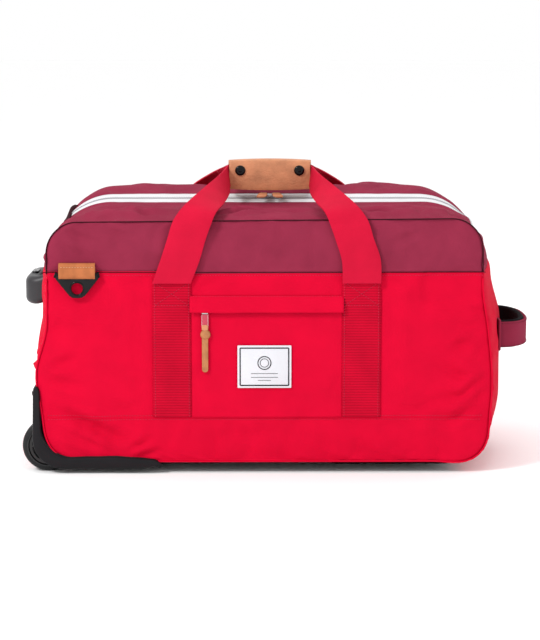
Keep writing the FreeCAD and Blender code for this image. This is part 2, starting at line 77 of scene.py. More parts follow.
def centre(node):
    return (low(node) + high(node)) / 2


MID = centre("front_panel_lower").x
HALF_SEAM = high("front_panel_lower").x - MID
FACE = high("rear_panel_lower").y
SEAM_Y = FACE - 3 * MM
BASE = low("front_panel_lower").z
COLOUR_Z = high("front_panel_lower").z
TOP_SEAM = high("front_panel_upper").z
CROWN = high("top_panel_front").z
LEFT_FULL = MID - low("left_end_panel").x
RIGHT_FULL = high("right_end_panel").x - MID
LOWER_SEAM = low("pocket_panel").z
TAPE_HALF = high("zip_tape_rear").y
TRAY_LOW = low("trolley_tray").z
TRAY_HALF = high("trolley_tray").y
TRAY_BACK = high("trolley_tray").x
WHEEL = {side: centre(f"tyre_{name}") for side, name in ((-1, "front"), (1, "rear"))}
WHEEL_R = (high("tyre_front").z - low("tyre_front").z) / 2
ROUND_LOW = 66 * MM
ROUND_TOP_SEAM = 42 * MM
ROUND_TOP_FULL = 100 * MM
SIDES = ((-1, "front"), (1, "rear"))
RIB_PITCH = 3.5 * MM

# ------------------------------------------------------------------ material helpers


def link(tree, source, target):
    tree.links.new(source, target)


def node(tree, kind, **values):
    """A new shader node with its settings."""
    made = tree.nodes.new(kind)
    for name, value in values.items():
        setattr(made, name, value)
    return made


def maths(tree, operation, a, b=None):
    """A Math node fed by sockets or by plain numbers."""
    made = node(tree, "ShaderNodeMath", operation=operation)
    for index, value in enumerate((a, b)):
        if value is None:
            continue
        if isinstance(value, (int, float)):
            made.inputs[index].default_value = value
        else:
            link(tree, value, made.inputs[index])
    return made.outputs[0]


TONE = 0.74  # colours are given as seen, and the lights lift them by its inverse


def material(name, colour, rough, spread=0.12, spot=25.0, **sockets):
    """A principled material whose colour wanders a little over the surface."""
    colour = [channel * TONE for channel in colour]
    made = bpy.data.materials.new(name)
    made.use_nodes = True
    tree = made.node_tree
    shader = tree.nodes["Principled BSDF"]
    shader.inputs["Roughness"].default_value = rough
    for label, value in sockets.items():
        shader.inputs[label.replace("_", " ")].default_value = value
    place = node(tree, "ShaderNodeTexCoord")
    cloud = node(tree, NOISE)
    cloud.inputs["Scale"].default_value = spot
    cloud.inputs["Detail"].default_value = 6
    link(tree, place.outputs["Object"], cloud.inputs["Vector"])
    ramp = node(tree, "ShaderNodeValToRGB")
    for element, factor, stop in zip(ramp.color_ramp.elements, (1 - spread, 1 + spread), (0.3, 0.7)):
        element.position = stop
        element.color = (*[min(1.0, channel * factor) for channel in colour], 1)
    link(tree, cloud.outputs["Fac"], ramp.inputs["Fac"])
    link(tree, ramp.outputs["Color"], shader.inputs["Base Color"])
    made.diffuse_color = (*colour, 1)
    return made


def add_bump(made, height, depth):
    """Bump from a height socket; a later call stacks on the earlier one."""
    tree = made.node_tree
    shader = tree.nodes["Principled BSDF"]
    bump = node(tree, "ShaderNodeBump")
    bump.inputs["Distance"].default_value = depth
    if shader.inputs["Normal"].links:
        link(tree, shader.inputs["Normal"].links[0].from_socket, bump.inputs["Normal"])
    link(tree, height, bump.inputs["Height"])
    link(tree, bump.outputs["Normal"], shader.inputs["Normal"])


def uv_axes(tree):
    """The surface's own two lengths, in metres."""
    place = node(tree, "ShaderNodeUVMap", uv_map="cloth")
    split = node(tree, "ShaderNodeSeparateXYZ")
    link(tree, place.outputs["UV"], split.inputs[0])
    return split.outputs["X"], split.outputs["Y"]


def weave(made, pitch, depth):
    """Plain weave: threads that cross over and under."""
    tree = made.node_tree
    across, along = uv_axes(tree)
    waves = [maths(tree, "SINE", maths(tree, "MULTIPLY", axis, math.tau / pitch))
             for axis in (across, along)]
    add_bump(made, maths(tree, "MULTIPLY", *waves), depth)
    return made


def ribs(made, pitch, depth):
    """Webbing: round ribs across the strap, with fine threads along it, and painted shade in the grooves
    between the ribs.
    """
    tree = made.node_tree
    across, along = uv_axes(tree)
    rib = maths(tree, "ABSOLUTE", maths(tree, "SINE", maths(tree, "MULTIPLY", along, math.pi / pitch)))
    thread = maths(tree, "SINE", maths(tree, "MULTIPLY", across, math.tau / (pitch * 0.5)))
    add_bump(made, maths(tree, "ADD", rib, maths(tree, "MULTIPLY", thread, 0.25)), depth)
    # painted shade: the colour darkens in the grooves between the ribs and is a little lighter on their tops
    shade(made, maths(tree, "ADD", maths(tree, "MULTIPLY", rib, 0.32), 0.74))
    return made


def shade(made, factor):
    """Multiply the material's colour by a socket, which paints shade where the socket is low."""
    tree = made.node_tree
    shader = tree.nodes["Principled BSDF"]
    scale = node(tree, "ShaderNodeVectorMath", operation="SCALE")
    link(tree, shader.inputs["Base Color"].links[0].from_socket, scale.inputs[0])
    link(tree, factor, scale.inputs["Scale"])
    link(tree, scale.outputs[0], shader.inputs["Base Color"])


def grain(made, scale, depth, kind="ShaderNodeTexVoronoi"):
    """Pebbled leather or moulded texture, in the piece's own space."""
    tree = made.node_tree
    place = node(tree, "ShaderNodeTexCoord")
    cells = node(tree, kind)
    cells.inputs["Scale"].default_value = scale
    link(tree, place.outputs["Object"], cells.inputs["Vector"])
    add_bump(made, cells.outputs[0], depth)
    return made


MATT = dict(Specular_IOR_Level=0.06)
NOISE = "ShaderNodeTexNoise"
RED = weave(material("red_cloth", (0.76, 0.0012, 0.033), 0.8, 0.06, **MATT), 0.9 * MM, 0.06 * MM)
MAROON = weave(material("maroon_cloth", (0.315, 0.028, 0.066), 0.8, 0.09, **MATT), 0.9 * MM, 0.06 * MM)
BLACK_CLOTH = weave(material("black_cloth", (0.010, 0.010, 0.012), 0.85, 0.2, **MATT), 0.9 * MM,
                    0.06 * MM)
# painted shade: this near-black cord colour stands for the shadow in the gap of each face's top seam and of
# the colour seam; the tray's binding is dark itself
SEAM_SHADOW_AND_BINDING = material("seam_shadow_and_dark_binding", (0.045, 0.006, 0.012), 0.8, 0.15, **MATT)
SEWN_WEB = ribs(material("sewn_webbing_weave", (0.60, 0.0016, 0.026), 0.75, 0.10, **MATT), RIB_PITCH,
                0.10 * MM)
FREE_WEB = ribs(material("strap_webbing_weave", (0.70, 0.008, 0.044), 0.7, 0.08, **MATT), 1.6 * MM,
                0.07 * MM)
THREAD = material("red_thread", (0.66, 0.035, 0.085), 0.7, 0.1, 400, **MATT)
MAROON_THREAD = material("maroon_thread", (0.20, 0.03, 0.05), 0.7, 0.1, 400, **MATT)
LEATHER = grain(material("tan_leather", (0.66, 0.275, 0.135), 0.5, 0.2, 60, Specular_IOR_Level=0.25),
                520, -0.42 * MM)
TAB_LEATHER = weave(material("tab_leather", (0.535, 0.177, 0.066), 0.6, 0.15, 90, **MATT), 2.2 * MM,
                    0.12 * MM)
LEATHER_EDGE = grain(material("leather_edge", (0.66, 0.38, 0.22), 0.7, 0.15, 90), 1400, 0.05 * MM)
PALE_LEATHER = grain(material("pale_leather", (0.52, 0.215, 0.085), 0.6, 0.2, 90,
                              Specular_IOR_Level=0.2), 1200, -0.12 * MM)
WHITE_TAPE = weave(material("white_zip_tape", (0.86, 0.86, 0.88), 0.8, 0.04), 0.8 * MM, 0.06 * MM)
WHITE_COIL = material("white_coil", (0.62, 0.62, 0.66), 0.4, 0.06)
LABEL_WHITE = weave(material("label_white", (0.80, 0.81, 0.86), 0.7, 0.03), 0.5 * MM, 0.03 * MM)
LABEL_INK = material("label_ink", (0.008, 0.008, 0.012), 0.7, 0.2, 200, **MATT)
GUARD = grain(material("guard_plastic_look", (0.008, 0.007, 0.009), 0.36, 0.15, 40,
                       Specular_IOR_Level=0.17), 1600, 0.03 * MM, NOISE)
GRIP_PLASTIC = grain(material("trolley_plastic", (0.030, 0.028, 0.032), 0.42, 0.15, 40,
                              Specular_IOR_Level=0.4), 1800, 0.03 * MM, NOISE)
RUBBER = grain(material("tyre_rubber_look", (0.008, 0.008, 0.009), 0.5, 0.3, 60,
                        Specular_IOR_Level=0.3), 1500, 0.05 * MM, NOISE)
GLOSS_BLACK = material("gloss_black", (0.004, 0.004, 0.005), 0.2, 0.2, 80, Specular_IOR_Level=0.45)
BLACK_METAL = material("black_metal_look", (0.002, 0.002, 0.003), 0.14, 0.2, 120,
                       Specular_IOR_Level=0.2)
SILVER = material("silver_metal", (0.62, 0.62, 0.64), 0.25, 0.1, 200, Metallic=1.0)
TUBE_METAL = grain(material("tube_metal", (0.55, 0.55, 0.57), 0.32, 0.06, 300, Metallic=1.0), 800,
                   0.01 * MM, NOISE)
BOARD = grain(material("board_look", (0.20, 0.20, 0.21), 0.6, 0.1, 60), 900, 0.05 * MM, NOISE)
PINK_TAPE = weave(material("pink_pull_tape", (0.58, 0.05, 0.09), 0.65, 0.1, 300), 1.0 * MM, 0.05 * MM)

# ------------------------------------------------------------------ mesh helpers


def mesh_object(name, verts, faces, mat, uvs=None, smooth=True):
    """A new mesh; uvs has one pair for each vertex, in metres along the cloth."""
    mesh = bpy.data.meshes.new(name)
    mesh.from_pydata([tuple(v) for v in verts], [], faces)
    mesh.materials.append(mat)
    if uvs:
        layer = mesh.uv_layers.new(name="cloth")
        for loop in mesh.loops:
            layer.data[loop.index].uv = uvs[loop.vertex_index]
    if smooth:
        mesh.polygons.foreach_set("use_smooth", [True] * len(mesh.polygons))
    obj = bpy.data.objects.new(name, mesh)
    bpy.context.scene.collection.objects.link(obj)
    return obj


def grid_faces(rows, cols, wrap=False):
    """Quads of a grid of rows by cols vertices; wrap joins the last column to the first."""
    span = cols if wrap else cols - 1
    return [(r * cols + c, r * cols + (c + 1) % cols, (r + 1) * cols + (c + 1) % cols, (r + 1) * cols + c)
            for r in range(rows - 1) for c in range(span)]


def grid_object(name, rows, cols, point, mat, length=None, wrap=False):
    """A sheet from point(row, col); length(row, col) gives its uv."""
    spots = [(r, c) for r in range(rows) for c in range(cols)]
    verts = [point(r, c) for r, c in spots]
    uvs = [length(r, c) for r, c in spots] if length else None
    return mesh_object(name, verts, grid_faces(rows, cols, wrap), mat, uvs)


def modify(obj, kind, **values):
    """A new modifier with its settings."""
    made = obj.modifiers.new(kind.lower(), kind)
    for name, value in values.items():
        setattr(made, name, value)
    return made


def thicken(obj, thick, offset=-1.0):
    modify(obj, "SOLIDIFY", thickness=thick, offset=offset)
    return obj


def bevel(obj, width, segments=3):
    modify(obj, "BEVEL", width=width, segments=segments, limit_method="ANGLE",
           angle_limit=math.radians(40))
    return obj


@contextmanager
def editing(mesh):
    """The mesh as a BMesh, written back when the block ends."""
    work = bmesh.new()
    work.from_mesh(mesh)
    yield work
    work.to_mesh(mesh)
    work.free()


def keep_result(obj):
    """Turn what the modifiers make into the plain mesh."""
    depsgraph = bpy.context.evaluated_depsgraph_get()
    mesh = bpy.data.meshes.new_from_object(obj.evaluated_get(depsgraph))
    obj.modifiers.clear()
    obj.data = mesh


def finish_piece(obj, body, slot, *nodes):
    """Ride on a body and stand for CAD nodes; slot is not used."""
    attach(obj, body)
    if nodes:
        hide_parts(*nodes)
    return obj


def tube(name, points, radius, mat, closed=False, resolution=4):
    """A round cord along points."""
    curve = bpy.data.curves.new(name, "CURVE")
    curve.dimensions = "3D"
    curve.bevel_depth = radius
    curve.bevel_resolution = resolution
    spline = curve.splines.new("POLY")
    spline.points.add(len(points) - 1)
    for spot, target in zip(points, spline.points):
        target.co = (*spot, 1)
    spline.use_cyclic_u = closed
    curve.materials.append(mat)
    obj = bpy.data.objects.new(name, curve)
    bpy.context.scene.collection.objects.link(obj)
    return obj


def lathe(name, profile, middle, axis, mat, steps=48):
    """Turn (radius, along) pairs about an axis through a point."""
    turn = Vector((0, 0, 1)).rotation_difference(Vector(axis)).to_matrix()
    rows = []
    for radius, along in profile:
        for i in range(steps):
            angle = math.tau * i / steps
            rows.append(Vector(middle) + turn @ Vector((radius * math.cos(angle),
                                                        radius * math.sin(angle), along)))
    return mesh_object(name, rows, grid_faces(len(profile), steps, True), mat)


def rounded(width, height, radius, steps=6):
    """The outline of a rounded rectangle about the origin."""
    points = []
    for i, (x, y) in enumerate(((1, 1), (-1, 1), (-1, -1), (1, -1))):
        for step in range(steps + 1):
            angle = (i + step / steps) * math.pi / 2
            points.append((x * (width / 2 - radius) + radius * math.cos(angle),
                           y * (height / 2 - radius) + radius * math.sin(angle)))
    return points


def prism(name, outline, thick, matrix, mat, edge=0.3 * MM):
    """A flat plate from an outline, softened along its edges and set by a matrix."""
    count = len(outline)
    verts = [matrix @ Vector((x, y, z)) for z in (-thick / 2, thick / 2) for x, y in outline]
    faces = [tuple(range(count))[::-1], tuple(range(count, 2 * count))]
    faces += [(i, (i + 1) % count, count + (i + 1) % count, count + i) for i in range(count)]
    obj = mesh_object(name, verts, faces, mat)
    return bevel(obj, edge, 2)


def facing(side, x, y, z):
    """A matrix whose local x, y lie along world x, z, on the front or rear face."""
    turn = Matrix(((1, 0, 0), (0, 0, side), (0, 1, 0))).to_4x4()
    return Matrix.Translation((x, y, z)) @ turn


def stitches(name, runs, mat, pitch=3.6 * MM, long=2.5 * MM, wide=0.8 * MM):
    """Rows of single stitches; each run is a list of (point, normal)."""
    verts, faces = [], []
    for run in runs:
        carried = pitch / 2
        for (a, normal), (b, _) in zip(run, run[1:]):
            span = (b - a).length
            if span < 1e-9:
                continue
            way = (b - a) / span
            side = way.cross(normal).normalized()
            while carried < span:
                spot, first = a + way * carried, len(verts)
                verts.append(spot - way * long / 2 - normal * 0.1 * MM)
                for along in (-0.28, 0.28):
                    for out, up in ((-0.5, 0), (0, 0.5), (0.5, 0), (0, -0.3)):
                        verts.append(spot + way * long * along + side * wide * out
                                     + normal * wide * up)
                verts.append(spot + way * long / 2 - normal * 0.1 * MM)
                for i in range(4):
                    j = (i + 1) % 4
                    faces.append((first, first + 1 + j, first + 1 + i))
                    faces.append((first + 1 + i, first + 1 + j, first + 5 + j, first + 5 + i))
                    faces.append((first + 9, first + 5 + i, first + 5 + j))
                carried += pitch
            carried -= span
    return mesh_object(name, verts, faces, mat)


# ------------------------------------------------------------------ the bag's form


def fullness(y):
    """0 at the panel seams, 1 at mid-depth."""
    return 1 - min(1.0, abs(y) / SEAM_Y) ** 2.6


def blend_sizes(y):
    """Half lengths, top height and top corner radius of the section at a depth."""
    full = fullness(y)
    ends = 1 - min(1.0, abs(y) / SEAM_Y) ** 1.5
    return (mix(HALF_SEAM, LEFT_FULL, ends), mix(HALF_SEAM, RIGHT_FULL, ends),
            mix(TOP_SEAM, CROWN, full), mix(ROUND_TOP_SEAM, ROUND_TOP_FULL, full))


COUNTS = (56, 14, 24, 22, 52, 22, 24, 14)
SPAN_NAMES = ("base", "low_right", "right", "top_right", "top", "top_left", "left", "low_left")


def section(y):
    """The outline at a depth, one point for each of the spans' steps, from the base's left end."""
    left, right, top, rounding = blend_sizes(y)

    def arc(x, z, radius, start, steps=40):
        angles = [math.radians(start + 90 * i / steps) for i in range(steps + 1)]
        return [(x + radius * math.cos(a), z + radius * math.sin(a)) for a in angles]

    low_right = arc(right - ROUND_LOW, BASE + ROUND_LOW, ROUND_LOW, -90)
    top_right = arc(right - rounding, top - rounding, rounding, 0)
    top_left = arc(rounding - left, top - rounding, rounding, 90)
    low_left = arc(ROUND_LOW - left, BASE + ROUND_LOW, ROUND_LOW, 180)
    spans = [[low_left[-1], low_right[0]], low_right,
             *split_at_colour([low_right[-1]] + top_right),
             [top_right[-1], top_left[0]],
             *split_at_colour(top_left + [low_left[0]]), low_left]
    points = []
    for path, count in zip(spans, COUNTS):
        points += resample(path, count + 1)[:-1]
    return [(x + MID, z) for x, z in points]


def split_at_colour(path):
    """Cut an end's path in two where it crosses the colour seam."""
    for i, (a, b) in enumerate(zip(path, path[1:])):
        if (a[1] - COLOUR_Z) * (b[1] - COLOUR_Z) <= 0 and a[1] != b[1]:
            share = (COLOUR_Z - a[1]) / (b[1] - a[1])
            cut = (mix(a[0], b[0], share), COLOUR_Z)
            return path[:i + 1] + [cut], [cut] + path[i + 1:]


def resample(path, count):
    """Even steps along a path of pairs."""
    lengths = [0.0]
    for a, b in zip(path, path[1:]):
        lengths.append(lengths[-1] + math.dist(a, b))
    out, i = [], 0
    for step in range(count):
        target = lengths[-1] * step / (count - 1)
        while i < len(path) - 2 and lengths[i + 1] < target:
            i += 1
        span = lengths[i + 1] - lengths[i]
        share = (target - lengths[i]) / span if span else 0
        out.append(tuple(mix(p, q, share) for p, q in zip(path[i], path[i + 1])))
    return out


def spread(a, b, count):
    """Even steps from a to b."""
    return [a + (b - a) * i / (count - 1) for i in range(count)]


ROWS_Y = spread(-SEAM_Y, -TAPE_HALF, 20) + spread(-TAPE_HALF, TAPE_HALF, 5)[1:-1] \
    + spread(TAPE_HALF, SEAM_Y, 20)
RING = sum(COUNTS)


def span_of(index):
    """Which named span a place round the section belongs to."""
    for name, count in zip(SPAN_NAMES, COUNTS):
        if index < count:
            return name
        index -= count
    return SPAN_NAMES[0]


UPPER_SPANS = ("top_right", "top", "top_left")


def in_tray(point, margin=0.0):
    """Whether a point is in the trolley's tray, or within a margin of it."""
    return (point.x < TRAY_BACK + margin and abs(point.y) < TRAY_HALF + margin
            and point.z > TRAY_LOW - margin)


def in_well(point, radius):
    """Whether a point is in the room of either wheel."""
    return any(abs(point.y - spot.y) < 20.5 * MM
               and math.hypot(point.x - spot.x, point.z - spot.z) < radius
               for spot in WHEEL.values())


def mix(a, b, share):
    """The value that share of the way from a to b."""
    return a + (b - a) * share


def ease(t):
    """A smooth step from 0 to 1."""
    t = min(1.0, max(0.0, t))
    return t * t * (3 - 2 * t)


def rear_rise(y):
    """How far the rear of the top stands above the zip, and the front below it."""
    rise = lambda depth: 17 * MM * ease((depth + 42 * MM) / (84 * MM))
    fade = 1 - ease((y - 75 * MM) / (SEAM_Y - 75 * MM))
    return (rise(y) - rise(0)) * fade * ease((SEAM_Y + y) / (110 * MM))


def warp(p):
    """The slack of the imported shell: narrow dropped shoulders, full lower corners, a puffed rear top."""
    x, y, z = p.x - MID, p.y, p.z
    seam = min(1.0, abs(y) / SEAM_Y)
    hand = math.copysign(1.0, x)
    high_up = ease((z - COLOUR_Z + 60 * MM) / (TOP_SEAM - COLOUR_Z + 60 * MM))
    dz = (2.5 * x / HALF_SEAM - 3.0) * MM * seam ** 5 * high_up
    dz += rear_rise(y) * ease((z - COLOUR_Z) / (CROWN - COLOUR_Z)) * (1 - min(1.0, abs(x) / LEFT_FULL) ** 6)
    belly, spread_z = (128 * MM, 44 * MM) if hand < 0 else (118 * MM, 72 * MM)
    reach = min(1.0, abs(x) / HALF_SEAM) ** 6
    dx = hand * 9.5 * MM * math.exp(-((z - belly) / spread_z) ** 2) * reach * seam ** 3
    # how far an end draws in, the height where it starts, and how much less it draws at the seam
    narrow, start, at_seam = (14, 185, 9) if hand > 0 else (8, 135, 2)
    draw_in = (narrow - at_seam * seam ** 2) * MM * ease((z - start * MM) / (65 * MM))
    dx -= hand * draw_in * min(1.0, abs(x) / HALF_SEAM) ** 3
    arc_x, arc_z = abs(x) - (HALF_SEAM - ROUND_LOW), BASE + ROUND_LOW - z
    if arc_x > 0 and arc_z > 0:
        swing = math.atan2(arc_z, arc_x)
        out = min(1.0, math.hypot(arc_x, arc_z) / ROUND_LOW)
        push = (9 if hand < 0 else 15) * MM * math.sin(2 * swing) ** 2 * out ** 3 * seam ** 3
        dx += hand * push * math.cos(swing)
        dz -= push * math.sin(swing)
    return Vector((p.x + dx, y, p.z + dz))


def build_gusset():
    """The ring of cloth between the two faces."""
    rings = [section(y) for y in ROWS_Y]
    girth = [0.0]
    middle = rings[len(rings) // 2]
    for a, b in zip(middle, middle[1:]):
        girth.append(girth[-1] + math.dist(a, b))
    point = lambda r, c: Vector((rings[r][c][0], ROWS_Y[r], rings[r][c][1]))
    obj = grid_object("gusset_cloth", len(ROWS_Y), RING, point, RED,
                      lambda r, c: (girth[c], ROWS_Y[r]), wrap=True)
    obj.data.flip_normals()
    return obj


def half_width(z):
    """Half the length of a face at a height, inside its round corners."""
    for edge, radius, way in ((BASE, ROUND_LOW, 1), (TOP_SEAM, ROUND_TOP_SEAM, -1)):
        depth = (z - edge) * way
        if depth < radius:
            return HALF_SEAM - radius + math.sqrt(max(0.0, radius ** 2 - (radius - depth) ** 2))
    return HALF_SEAM


def face_rows():
    """Heights of a face's rows, close together at the round corners."""
    bend = lambda edge, radius, way: [edge + way * radius * (1 - math.cos(math.pi / 2 * i / 10))
                                      for i in range(11)]
    lower = bend(BASE, ROUND_LOW, 1)
    upper = bend(TOP_SEAM, ROUND_TOP_SEAM, -1)[::-1]
    middle = spread(lower[-1], COLOUR_Z, 28) + spread(COLOUR_Z, upper[0], 5)[1:]
    return lower + middle[1:] + upper[1:]


FACE_COLS = 78


def build_face(side, name):
    """A face of the bag as a sheet that reaches its seam with the gusset."""
    heights = face_rows()

    def point(r, c):
        share = 2 * c / (FACE_COLS - 1) - 1
        edge = min(1.0, (1 - abs(share)) * 12, (heights[r] - BASE) / 0.03,
                   (TOP_SEAM - heights[r]) / 0.02)
        return Vector((MID + share * half_width(heights[r]),
                       side * (SEAM_Y + (FACE - SEAM_Y) * math.sqrt(max(0.0, edge))), heights[r]))

    obj = grid_object(f"{name}_cloth", len(heights), FACE_COLS, point, RED,
                      lambda r, c: (point(r, c).x, heights[r]))
    if side > 0:
        obj.data.flip_normals()
    return obj


# ------------------------------------------------------------------ cloth simulation


HELD = "held"
WEBBING_MIDDLE, WEBBING_HALF, WEBBING_TOP = 123 * MM, 25 * MM, 257 * MM


def pin(obj, test):
    """Hold the vertices that the test names."""
    obj.vertex_groups.new(name=HELD).add([v.index for v in obj.data.vertices if test(v)], 1.0, "REPLACE")


def add_cloth(obj, pressure, extra):
    """Cloth cut a little larger than its frame, so that it puffs and puckers."""
    settings = modify(obj, "CLOTH").settings
    settings.vertex_group_mass = HELD
    settings.effector_weights.gravity = 0
    for name, value in dict(use_pressure=True, uniform_pressure_force=pressure, shrink_min=-extra,
                            mass=0.25, tension_stiffness=25, compression_stiffness=25,
                            shear_stiffness=8, bending_stiffness=0.35, tension_damping=12,
                            air_damping=4, quality=5).items():
        setattr(settings, name, value)


def settle(objects, frames=22):
    """Run the simulation, then keep its last frame as plain meshes."""
    scene = bpy.context.scene
    scene.frame_end = frames
    for frame_number in range(1, frames + 1):
        scene.frame_set(frame_number)
    depsgraph = bpy.context.evaluated_depsgraph_get()
    for obj, limit in objects:
        moved = [v.co.copy() for v in obj.evaluated_get(depsgraph).data.vertices]
        obj.modifiers.clear()
        for v, target in zip(obj.data.vertices, moved):
            shift = target - v.co
            most = limit(v.co)
            if shift.length > most:
                shift *= most / shift.length
            v.co += shift
    scene.frame_set(1)


def gusset_limit(p):
    """The rear top may puff further than the front, the ends and the base."""
    if p.z < COLOUR_Z or abs(p.x - MID) > HALF_SEAM - 30 * MM:
        return 2.6 * MM
    return (7.5 if p.y > 0 else 2.2) * MM


def gusset_held(v):
    """Held: the seams with the faces, the base, the colour seam, the zip, the tray and the wells."""
    column, row = v.index % RING, v.index // RING
    span = span_of(column)
    seam_columns = (sum(COUNTS[:3]), sum(COUNTS[:6]))
    return (row in (0, len(ROWS_Y) - 1) or span == "base" or column in seam_columns
            or (span in UPPER_SPANS and abs(ROWS_Y[row]) < TAPE_HALF + 1e-6)
            or in_tray(v.co, 6 * MM) or in_well(v.co, 52 * MM))


def face_held(v):
    """Held: the edge, the two level seams and the sewn webbing."""
    x, z = abs(v.co.x - MID), v.co.z
    share = x / half_width(z)
    sewn = abs(x - WEBBING_MIDDLE) < WEBBING_HALF and LOWER_SEAM < z < WEBBING_TOP
    seams = min(abs(z - COLOUR_Z), abs(z - LOWER_SEAM)) < 3.4 * MM
    return share > 0.999 or z < BASE + 1e-5 or z > TOP_SEAM - 1e-5 or seams or sewn


def with_normals(obj):
    """Each vertex with its normal, read before anything moves."""
    return list(zip(obj.data.vertices, [v.normal.copy() for v in obj.data.vertices]))


def pucker(obj, reach, size, distance_and_place):
    """Small gathers that run away from a seam and fade."""
    for v, normal in with_normals(obj):
        distance, place = distance_and_place(v)
        if distance is None or distance > 5 * reach:
            continue
        fade = math.exp(-distance / reach) * min(1.0, distance / (2 * MM))
        wave = noise.noise(Vector((place * 55, distance * 9, 3.1)))
        wave += 0.5 * noise.noise(Vector((place * 120, distance * 14, 9.7)))
        v.co += normal * size * fade * wave


def crease(obj, start, end, depth, width):
    """A valley along a line with a soft ridge on each side, fading at its ends."""
    start, end = (Vector(spot) * MM + Vector((MID, 0, 0)) for spot in (start, end))
    line = end - start
    width *= MM
    for v, normal in with_normals(obj):
        share = (v.co - start).dot(line) / line.length_squared
        if not -0.05 < share < 1.05:
            continue
        distance = (v.co - start - line * share).length
        if distance > 4 * width:
            continue
        wander = distance + 0.35 * width * noise.noise(v.co * 60)
        shape = math.exp(-(wander / width) ** 2) - 0.55 * math.exp(-((wander - 1.9 * width) / width) ** 2)
        v.co -= normal * depth * MM * shape * max(0.0, math.sin(math.pi * ease(share)))


def roll(obj, size, scale, seed):
    """Broad soft undulation of slack cloth, none where it is held."""
    held = obj.vertex_groups[HELD].index
    for v, normal in with_normals(obj):
        if any(g.group == held and g.weight > 0 for g in v.groups):
            continue
        v.co += normal * size * noise.noise(v.co * scale + Vector((seed, 0, 0)))


gusset = build_gusset()
faces = {side: build_face(side, name) for side, name in SIDES}
pin(gusset, gusset_held)
for side in faces:
    pin(faces[side], face_held)
for obj in (gusset, *faces.values()):
    for v in obj.data.vertices:
        v.co = warp(v.co)
add_cloth(gusset, 3.0, 0.022)
for side in faces:
    add_cloth(faces[side], 1.2, 0.012)
settle([(gusset, gusset_limit)] + [(faces[side], lambda p: 4 * MM) for side in faces])


roll(gusset, 2.2 * MM, 14, 4)
for side in faces:
    roll(faces[side], 1.1 * MM, 12, 11)
for obj in (gusset, *faces.values()):
    modify(obj, "SUBSURF", levels=1, render_levels=1, boundary_smooth="PRESERVE_CORNERS")
    keep_result(obj)


# each: start and end in mm from the bag's middle, depth (a ridge if negative) and width; on a face
# a start or end is (x, z)
FACE_CREASES = (
    ((-186, 26), (-140, 52), 1.6, 4), ((-176, 20), (-126, 34), 1.2, 4), ((-292, 92), (-160, 34), 3.4, 8),
    ((-288, 72), (-200, 30), 1.8, 7), ((-284, 326), (-200, 300), 1.6, 6),
    ((-268, 318), (-246, 280), 1.2, 6), ((292, 132), (240, 96), 2.4, 5), ((280, 180), (236, 160), 1.8, 7),
    ((292, 112), (214, 150), 1.8, 7), ((292, 106), (200, 96), 1.6, 8), ((290, 98), (226, 62), 1.6, 6),
    ((291, 210), (246, 226), 1.2, 6), ((-290, 140), (-232, 158), 1.3, 6),
    ((-291, 128), (-226, 112), 1.3, 6), ((-150, 196), (-176, 226), 0.9, 4),
    ((-148, 170), (-182, 178), 0.9, 4), ((-90, 50), (60, 56), 0.8, 9), ((158, 300), (210, 322), 1.0, 5),
    ((-160, 306), (-214, 326), 1.0, 5), ((166, 150), (176, 220), 0.8, 6),
)
FACE_DEPTH, END_DEPTH = 2.2, 2.0  # how deep the folds are cut, as a multiple of what is listed
END_CREASES = (
    ((316, -160, 249), (318, -96, 254), 2.2, 5), ((318, -160, 214), (322, -80, 206), 2.6, 6),
    ((312, -160, 158), (322, -70, 160), 3.0, 6), ((314, -158, 118), (322, -84, 108), 2.4, 6),
    ((316, 160, 232), (322, 84, 240), 2.4, 6), ((314, 160, 140), (322, 76, 150), 2.8, 6),
    ((-296, -160, 146), (-306, -96, 150), 2.4, 5), ((-296, -160, 134), (-306, -100, 126), 2.2, 5),
    ((-294, 160, 150), (-306, 92, 158), 2.6, 6), ((-298, -150, 232), (-306, -90, 240), 1.8, 6),
    ((-150, -160, 338), (-172, -70, 346), 2.6, 7), ((-172, -70, 346), (-120, -24, 347), 1.8, 6),
    ((196, -160, 338), (214, -74, 346), 2.8, 7), ((214, -74, 346), (160, -26, 347), 1.8, 6),
    ((-60, -128, 342), (30, -112, 343), 2.2, 5), ((96, -118, 343), (176, -134, 341), 2.4, 6),
    ((-236, -150, 326), (-196, -92, 342), 2.2, 6), ((250, -148, 326), (236, -84, 340), 2.4, 6),
    ((-200, 150, 340), (-140, 70, 352), 2.6, 8), ((120, 146, 342), (190, 60, 352), 2.6, 8),
    ((-40, 140, 342), (40, 110, 352), 2.0, 7), ((284, -70, 318), (300, 40, 306), 2.6, 8),
    ((-284, -132, 326), (-62, -112, 342), -2.7, 13), ((64, -116, 342), (276, -130, 330), -2.4, 13),
    ((-84, -132, 340), (30, -100, 344), -2.0, 11), ((-30, -84, 345), (96, -128, 341), -1.8, 10),
    ((-250, -70, 346), (-110, -56, 346), -1.8, 14), ((120, -60, 346), (240, -76, 344), -1.8, 14),
    ((-230, -112, 338), (-120, -140, 340), 2.6, 5), ((100, -146, 339), (200, -116, 341), 2.4, 5),
    ((-70, -142, 340), (10, -104, 343), 3.0, 5), ((-20, -136, 341), (70, -120, 342), 2.4, 4),
)


def gusset_place(v):
    """How far a vertex is from its seam with a face, and where along it."""
    distance = SEAM_Y - abs(v.co.y)
    if v.co.z < BASE + 2 * MM:
        return None, 0
    return distance, v.co.x + v.co.z * 1.3 + (2 if v.co.y > 0 else 0)


def face_place(v):
    """How far a vertex is from the nearest edge of its face, and where along it."""
    x = abs(v.co.x - MID)
    distance = min(half_width(v.co.z) - x, TOP_SEAM - v.co.z, v.co.z - BASE)
    return max(0.0, distance), v.co.z * 1.3 + v.co.x * 0.4


RING_SPOTS = [(low(node).x, high(node).x, low(node).z, high(node).z)
              for node in ("ring_plate_front", "ring_plate_rear")]
FLAT_SPOTS = RING_SPOTS + [(low("sewn_webbing_front_left").x, high("sewn_webbing_front_right").x,
                            LOWER_SEAM, COLOUR_Z)]


